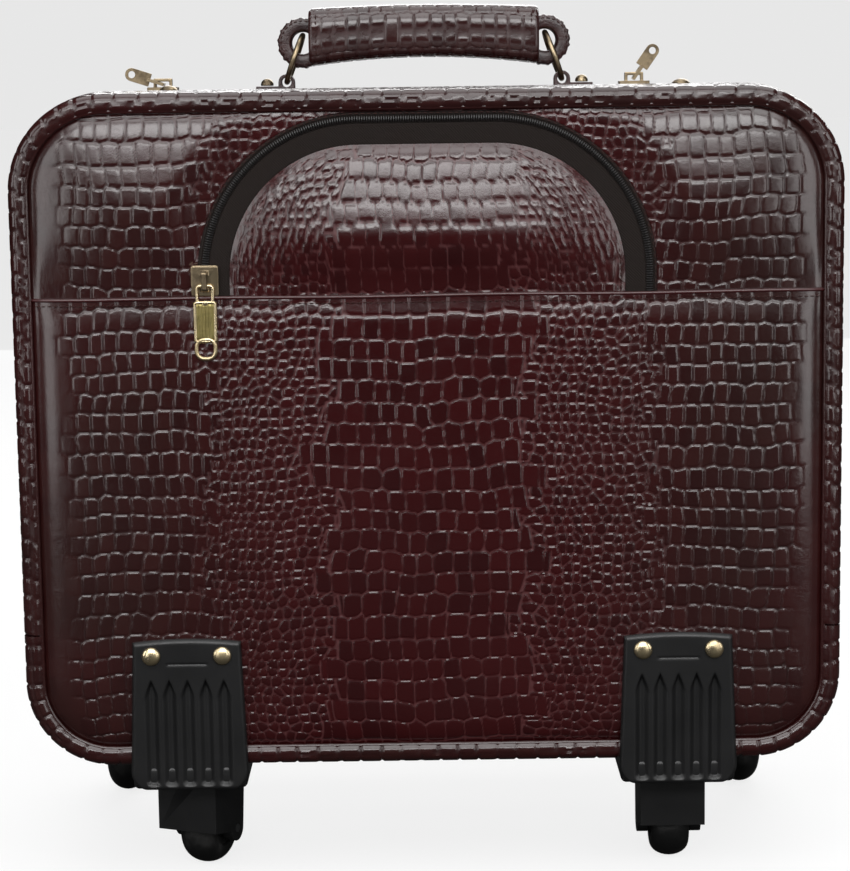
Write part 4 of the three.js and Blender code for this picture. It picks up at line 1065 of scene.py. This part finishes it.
def rings():
    for name, side in SIDES:
        node = f"handle_ring_{name}"
        lo, hi, middle = low(node), high(node), centre(node)
        radius = (hi[1] - lo[1]) / 2 - 1.5
        lean = math.asin(min(1.0, (hi[0] - lo[0] - 3) / (2 * radius)))
        turn = np.linspace(0, 2 * math.pi, 72, endpoint=False)
        inward = np.array([-side * math.sin(lean), 0, math.cos(lean)])
        line = middle + radius * (np.outer(np.cos(turn), inward) + np.outer(np.sin(turn), (0, 1, 0)))
        normal = np.cross(inward, (0, 1, 0))
        Piece().shell(*bent_wire(line, 1.5, 16, up=tuple(normal))).build(
            f"{node}_wire", OLD_BRASS, node, [node], "antique_brass")


def oval(half_x, half_z, corner, middle, y, count=48):
    """Points round a rounded rectangle in X and Z."""
    turn = np.linspace(0, 2 * math.pi, count, endpoint=False) + 0.001
    x = np.sign(np.cos(turn)) * (half_x - corner) + corner * np.cos(turn)
    z = np.sign(np.sin(turn)) * (half_z - corner) + corner * np.sin(turn)
    return np.stack([middle[0] + x, np.full(count, y), middle[1] + z], -1)


def pocket_pull():
    """The cast pull: an open loop above, a plate ribbed from side to side, an open eye below."""
    lo, hi = low("pocket_pull"), high("pocket_pull")
    y, x = centre("pocket_pull")[1], centre("pocket_pull")[0]
    half = (hi[0] - lo[0]) / 2
    thick = (hi[1] - lo[1]) / 2
    piece = Piece()
    loop_mid = hi[2] - 5.2
    piece.shell(*bent_wire(oval(4.1, 4.3, 1.6, (x, loop_mid), y), 0.85, 10))
    plate_top, plate_foot = hi[2] - 9.4, lo[2] + 10.2
    rows = np.linspace(plate_foot, plate_top, 40)
    across = np.linspace(-1, 1, 85)
    zz = np.repeat(rows[:, None], len(across), 1)
    xx = x + half * np.repeat(across[None, :], len(rows), 0)
    inner = np.minimum(half - np.abs(xx - x), np.minimum(zz - plate_foot, plate_top - zz))
    ribs = 0.4 * np.abs(np.sin((xx - x) * math.pi / 1.7)) ** 0.7
    yy = y - 0.45 * thick - ribs * smooth(inner, 1.0, 1.6)
    points, faces = lidded(np.stack([xx, yy, zz], -1), lambda p: p * (1, 0, 1) + (0, y + 0.7 * thick, 0))
    piece.shell(points, faces, paint=1)
    middle_z = (plate_top + plate_foot) / 2
    piece.shell(*bent_wire(oval(half - 0.8, (plate_top - plate_foot) / 2, 1.2, (x, middle_z), y - 0.1), 0.85, 10))
    piece.shell(*bent_wire(oval(half - 1.1, 5.0, 4.0, (x, lo[2] + 6.2), y), 1.1, 10))
    piece.shell(*rounded_block((x - 1.5, x + 1.5), (y - 0.9, y + 0.9), (hi[2] - 11.0, hi[2] - 8.6), 0.4))
    piece.build("pocket_pull_cast", [BRASS, OLIVE_BRASS], "pocket_pull", ["pocket_pull"], "bright_brass", 50)


# ------------------------------------------------------------------ carry handle


def handle_loops():
    """Each end of the strap rolls round its ring: a thick leather eye with a wrinkled, stitched rim."""
    lo, hi, middle = low("handle_strap"), high("handle_strap"), centre("handle_strap")
    loop_z = lo[2] + 14.0
    for name, side in SIDES:
        x = side * (hi[0] - 14.0)
        count, turn_count = 28, 120
        section = np.arange(count) * 2 * math.pi / count
        turn = np.arange(turn_count) * 2 * math.pi / turn_count
        power = 0.42
        radial = 10.0 + 3.9 * np.sign(np.cos(section)) * np.abs(np.cos(section)) ** power
        wide = 7.3 * np.sign(np.sin(section)) * np.abs(np.sin(section)) ** power
        wrinkle = 0.28 * np.sin(turn * 17 + 1.3 * np.sin(turn * 3)) + 0.18 * np.sin(turn * 31 + 2)
        reach = radial[None, :] + wrinkle[:, None] * smooth(radial, 9, 13)[None, :]
        grid = np.stack([x + reach * np.cos(turn)[:, None],
                         np.broadcast_to(middle[1] + wide, reach.shape),
                         loop_z + reach * np.sin(turn)[:, None]], -1)
        piece = Piece().shell(grid.reshape(-1, 3), [grid_faces(turn_count, count, True, True)])
        piece.build(f"handle_loop_{name}", STRAP, "carry_handle", ["handle_strap"] if side < 0 else ())
        stitch_path = Path().arc((x, loop_z), 11.9, -2.6 if side > 0 else 0.5, 2.6 if side > 0 else 5.8)
        stitches(stitch_path, middle[1] - 7.35, 3.0, 0.4).build(
            f"handle_loop_stitches_{name}", THREAD, "carry_handle")


def handle_grip():
    """The padded grip: a squarish section along X, arched below and crowned above, wrapped in croc leather."""
    lo, hi, middle = low("handle_grip"), high("handle_grip"), centre("handle_grip")
    half_long, half_deep = (hi[0] - lo[0]) / 2, (hi[1] - lo[1]) / 2
    end_roll = 2.2
    roll = np.linspace(0, math.pi / 2, 7)
    start = -half_long + end_roll * (1 - np.cos(roll))
    x = np.concatenate([start, np.linspace(-half_long + end_roll, half_long - end_roll, 150)[1:-1], -start[::-1]])
    shrink = np.concatenate([np.sin(roll), np.ones(148), np.sin(roll)[::-1]])
    t = x / half_long
    top = hi[2] - 1.0 - 1.6 * t ** 2
    foot = lo[2] + 4.6 * (1 - t ** 2)
    count = 96
    turn = np.arange(count) * 2 * math.pi / count
    power = 0.62
    cos, sin = np.cos(turn), np.sin(turn)
    inset = end_roll * (1 - shrink)
    deep = (half_deep - inset)[:, None] * (np.sign(cos) * np.abs(cos) ** power)[None, :]
    tall = ((top - foot) / 2 - inset)[:, None] * (np.sign(sin) * np.abs(sin) ** power)[None, :]
    grid = np.stack([np.repeat(x[:, None], count, 1) + middle[0], middle[1] + deep,
                     ((top + foot) / 2)[:, None] + tall], -1)
    round_length = 2 * (2 * half_deep + (top - foot).mean()) * 0.9
    t_len = np.repeat((turn / (2 * math.pi) * round_length)[None, :], len(x), 0)
    s_len = np.repeat(x[:, None], count, 1)
    raised, _, tone = scales(s_len / 7.6 + 0.2 * wave(t_len, s_len, 71.0),
                                  np.abs(t_len - round_length / 2) / 8.4 + 0.15 * wave(s_len, t_len, 73.0),
                                  (0.35, 0.3), 3.6, 1.0, 71.0)
    height = smooth(raised, 0.0, 0.22) * shrink[:, None]
    outward = np.stack([np.zeros(deep.shape), deep, tall], -1)
    outward /= np.maximum(np.linalg.norm(outward, axis=-1, keepdims=True), 1e-6)
    grid += outward * (0.6 * height - 0.6)[..., None]
    rows = len(x)
    index = np.arange(rows * count).reshape(rows, count)
    faces = [grid_faces(rows, count, False, True), index[:1, ::-1], index[-1:]]
    faces[1:] = [consistent(faces[0], face) for face in faces[1:]]
    layers = {"crease": (1 - height).ravel(), "tone": tone.ravel(), "flank": 0.7}
    Piece().shell(grid.reshape(-1, 3), faces, layers).build(
        "handle_grip_leather", LEATHER, "carry_handle", ["handle_grip"])
    for name, side in SIDES:
        line_x = side * (half_long - 4.2)
        t_here = line_x / half_long
        z_top, z_foot = hi[2] - 2.6 - 1.6 * t_here ** 2, lo[2] + 2.6 + 3.6 * (1 - t_here ** 2)
        path = Path().run((line_x, z_foot + 2), (line_x, z_top - 2))
        stitches(path, middle[1] - half_deep + 0.35, 3.0, 0.4).build(
            f"handle_grip_stitches_{name}", THREAD, "carry_handle")


# ------------------------------------------------------------------ guards, casters and wheels


def guards():
    """Each guard's plate: x = u * half width(z), fluted in front, rolled back at its edges."""
    for name, side in SIDES:
        node = f"guard_{name}"
        lo, hi, middle = low(node), high(node), centre(node)
        face, back = lo[1], FRONT - 4.0 - 0.3
        half_foot, half_top = (hi[0] - lo[0]) / 2, (hi[0] - lo[0]) / 2 - 3.0
        foot, top = lo[2], hi[2] - 1.75
        corner = 10.0
        low_turn = np.linspace(0, math.pi / 2, 16)
        rows = np.concatenate([foot + corner * (1 - np.cos(low_turn)), np.linspace(foot + corner, top, 90)[1:]])
        across = np.linspace(-1, 1, 120)
        height = np.repeat(rows[:, None], len(across), 1)
        straight = half_foot + (half_top - half_foot) * (height - foot) / (top - foot)
        into = np.clip(foot + corner - height, 0, corner)
        half = straight - (corner - np.sqrt(corner ** 2 - into ** 2))
        xx = across[None, :] * half
        crown = 1.75 * (1 - across[None, :] ** 2) * smooth(height, top - 14, top)
        zz = height + crown
        edge = np.minimum(np.minimum(half - np.abs(xx), (top + crown) - zz + 0.0), zz - foot)
        roll = 2.2
        rolled = roll - np.sqrt(np.maximum(roll ** 2 - np.clip(roll - edge, 0, roll) ** 2, 0))
        pitch = 9.6
        nearest = np.clip(np.round(xx / pitch), -2, 2) * pitch
        off = np.abs(xx - nearest)
        point_top = hi[2] - 21 - 2.4 * off
        flute = (1 - smooth(off, 0.6, 4.3)) * smooth(point_top - zz, 0, 3.5) * smooth(zz - foot, 1.5, 5)
        yy = face + rolled + 2.6 * flute + 0.35 * (1 - smooth(np.abs(zz - (hi[2] - 13.5)), 0.3, 0.9)) \
            * (1 - smooth(np.abs(xx), 10, 12))
        points, faces = lidded(np.stack([middle[0] + xx, yy, zz], -1), lambda p: p * (1, 0, 1) + (0, back, 0))
        piece = Piece().shell(points, faces)
        sole = rounded_block((middle[0] - half_foot + 1.2, middle[0] + half_foot - 1.2),
                             (face + 2.0, hi[1]), (foot, FOOT - 0.3), 3.0, 5)
        piece.shell(*sole)
        piece.build(f"{node}_moulding", PLASTIC, "case", [node], "black_plastic")


def wheels():
    """Each wheel: a round-shouldered tread on a dished hub with a raised boss at the axle."""
    for kind, body in (("caster_wheel", "caster_wheel"), ("rear_wheel", "rear_wheel")):
        for name, side in SIDES:
            node = f"{kind}_{name}"
            lo, hi, middle = low(node), high(node), centre(node)
            radius = (hi[2] - lo[2]) / 2
            axis = wheel_axis(name) if kind == "caster_wheel" else np.array([1.0, 0, 0])
            wide = (10.5 if kind == "caster_wheel" else 11.0)
            bore = 2.9 if kind == "caster_wheel" else 3.4
            shoulder = 0.36 * radius
            turn = np.linspace(-math.pi / 2, math.pi / 2, 17)
            tread = np.stack([radius - shoulder + shoulder * np.cos(turn), wide * np.sin(turn)], -1)
            hub, dish = radius * 0.52, 1.6
            start = [[bore, -wide + 0.1], [bore + 2.6, -wide + 0.1], [bore + 3.2, -wide + dish],
                     [hub - 1, -wide + dish], [hub, -wide + 0.2]]
            end = [[r, -y] for r, y in start[::-1]]
            profile = np.vstack([start, tread, end])
            Piece().shell(*turned(profile, middle, axis, 72)).build(
                f"{node}_tyre", RUBBER, f"{body}_{name}", [node], "wheel_rubber")


def wheel_axis(name):
    """The caster axle's direction, from its joint."""
    for joint in frame["joints"]:
        if joint["name"] == f"caster_{name}_roll":
            return np.array(joint["axis"], float)
    return np.array([1.0, 0.0, 0.0])


# ------------------------------------------------------------------ CAD nodes that stay


def soften(node, width):
    """Rounds a CAD node's moulded edges."""
    obj = bpy.data.objects[node] if node in bpy.data.objects else frame["nodes"][node]
    weld = obj.modifiers.new("weld", "WELD")
    weld.merge_threshold = 1e-6
    bevel = obj.modifiers.new("edges", "BEVEL")
    bevel.width, bevel.segments, bevel.limit_method = width * MM, 2, "ANGLE"
    bevel.angle_limit = math.radians(32)
    bevel.harden_normals = False


KEPT_EDGES = {
    "caster_fork_left": 0.9, "caster_fork_right": 0.9, "handle_socket": 0.6, "trolley_grip": 1.2,
    "trolley_button": 0.5, "rear_wheel_housing_left": 1.2, "rear_wheel_housing_right": 1.2,
    "chape_left": 0.5, "chape_right": 0.5, "main_slider_left": 0.4, "main_slider_right": 0.4,
    "main_pull_left": 0.25, "main_pull_right": 0.25, "pocket_slider": 0.9,
}


def kept_nodes():
    for row in frame["record"]["subparts"]:
        obj = frame["nodes"][row["node"]]
        material = SLOTS[row["material_slot"]]
        obj.data.materials.clear()
        obj.data.materials.append(material)
    for node, width in KEPT_EDGES.items():
        soften(node, width)


# ------------------------------------------------------------------ stage, light and camera
CAMERA_AHEAD = 1240.0
LENS = 99.031
CAMERA_X, PITCH, ROLL_TURN = -2.4, 8.2, -0.8


def stage():
    floor = bpy.data.meshes.new("floor")
    size = 30.0
    floor.from_pydata([(-size, -size, 0), (size, -size, 0), (size, size, 0), (-size, size, 0)], [], [(0, 1, 2, 3)])
    obj = bpy.data.objects.new("floor", floor)
    bpy.context.scene.collection.objects.link(obj)
    p = Paint("floor")
    rays = p.tree.nodes.new("ShaderNodeLightPath")
    seen = Wire(p, rays.outputs["Is Camera Ray"])
    p.set(base_color=p.mix(seen, (0.03, 0.03, 0.03), (0.86, 0.86, 0.86)), roughness=0.8, specular_ior_level=0.1)
    glow = p.node("Emission", {}, {"Color": (1, 1, 1, 1), "Strength": 1.0})
    mixed = p.node("MixShader", {}, {0: seen * 0.80})
    node = mixed.socket.node
    p.tree.links.new(p.shader.outputs[0], node.inputs[1])
    p.tree.links.new(glow.socket, node.inputs[2])
    p.tree.links.new(mixed.socket, p.tree.nodes["Material Output"].inputs[0])
    floor.materials.append(p.material)


def world():
    made = bpy.data.worlds.new("studio")
    bpy.context.scene.world = made
    made.use_nodes = True
    tree = made.node_tree
    ground = tree.nodes["Background"]
    ground.inputs["Color"].default_value = (1, 1, 1, 1)
    ground.inputs["Strength"].default_value = 0.02
    white = tree.nodes.new("ShaderNodeBackground")
    white.inputs["Strength"].default_value = 1.0
    rays = tree.nodes.new("ShaderNodeLightPath")
    mixed = tree.nodes.new("ShaderNodeMixShader")
    tree.links.new(rays.outputs["Is Camera Ray"], mixed.inputs[0])
    tree.links.new(ground.outputs[0], mixed.inputs[1])
    tree.links.new(white.outputs[0], mixed.inputs[2])
    tree.links.new(mixed.outputs[0], tree.nodes["World Output"].inputs[0])


def lamp(name, place, target, size, watts, shines=True):
    """A soft box at a place in metres, aimed at a target; one that doesn't shine shows in no reflection."""
    light = bpy.data.lights.new(name, "AREA")
    light.shape, light.size, light.size_y, light.energy = "RECTANGLE", size[0], size[1], watts
    obj = bpy.data.objects.new(name, light)
    obj.location = place
    obj.rotation_euler = (Vector(target) - Vector(place)).to_track_quat("-Z", "Y").to_euler()
    obj.visible_glossy = shines
    obj.visible_camera = False
    bpy.context.scene.collection.objects.link(obj)


def camera():
    data = bpy.data.cameras.new("camera")
    data.lens = LENS
    data.sensor_width = 36.0
    obj = bpy.data.objects.new("camera", data)
    turn = Matrix.Rotation(math.radians(90 - PITCH), 4, "X") @ Matrix.Rotation(math.radians(ROLL_TURN), 4, "Z")
    obj.matrix_world = Matrix.Translation(Vector((CAMERA_X, FRONT - CAMERA_AHEAD, TOP)) * MM) @ turn
    bpy.context.scene.collection.objects.link(obj)
    bpy.context.scene.camera = obj
    data.clip_end = 60


camera()
kept_nodes()
front_lower()
front_upper()
pocket_hem()
pocket_flap()
bands()
gusset()
back_panel()
pipings()
pocket_zip()
main_zip()
rivets()
rings()
pocket_pull()
handle_loops()
handle_grip()
guards()
wheels()
stage()
world()
lamp("overhead", (0.0, -1.15, 1.50), (0, -0.05, 0.32), (2.0, 1.0), 22)
lamp("top", (0.0, 0.1, 1.7), (0, 0.0, 0.4), (1.6, 1.2), 12)
lamp("front_band", (0.0, -1.75, 0.92), (0, 0, 0.38), (1.5, 0.30), 12)
lamp("left_band", (-0.85, -1.35, 0.42), (-0.1, 0, 0.28), (0.3, 0.9), 2.4)
lamp("right_band", (0.85, -1.35, 0.42), (0.1, 0, 0.28), (0.3, 0.9), 2.6)
lamp("left_box", (-1.5, -0.8, 0.75), (0, 0, 0.25), (0.6, 1.2), 6)
lamp("right_box", (1.5, -0.8, 0.75), (0, 0, 0.25), (0.6, 1.2), 6)
lamp("fill", (0.0, -2.6, 0.5), (0, 0, 0.2), (2.2, 1.6), 12, shines=False)
lamp("back_box", (0.4, 1.7, 1.3), (0, 0.1, 0.25), (2.0, 1.0), 26)
lamp("back_fill", (0.0, 2.6, 0.5), (0, 0, 0.2), (2.2, 1.6), 16, shines=False)
lamp("side_fill_left", (-2.4, 0.5, 0.7), (0, 0, 0.25), (1.4, 1.4), 10, shines=False)
lamp("side_fill_right", (2.4, 0.5, 0.7), (0, 0, 0.25), (1.4, 1.4), 10, shines=False)
bpy.context.scene.view_settings.view_transform = "Standard"
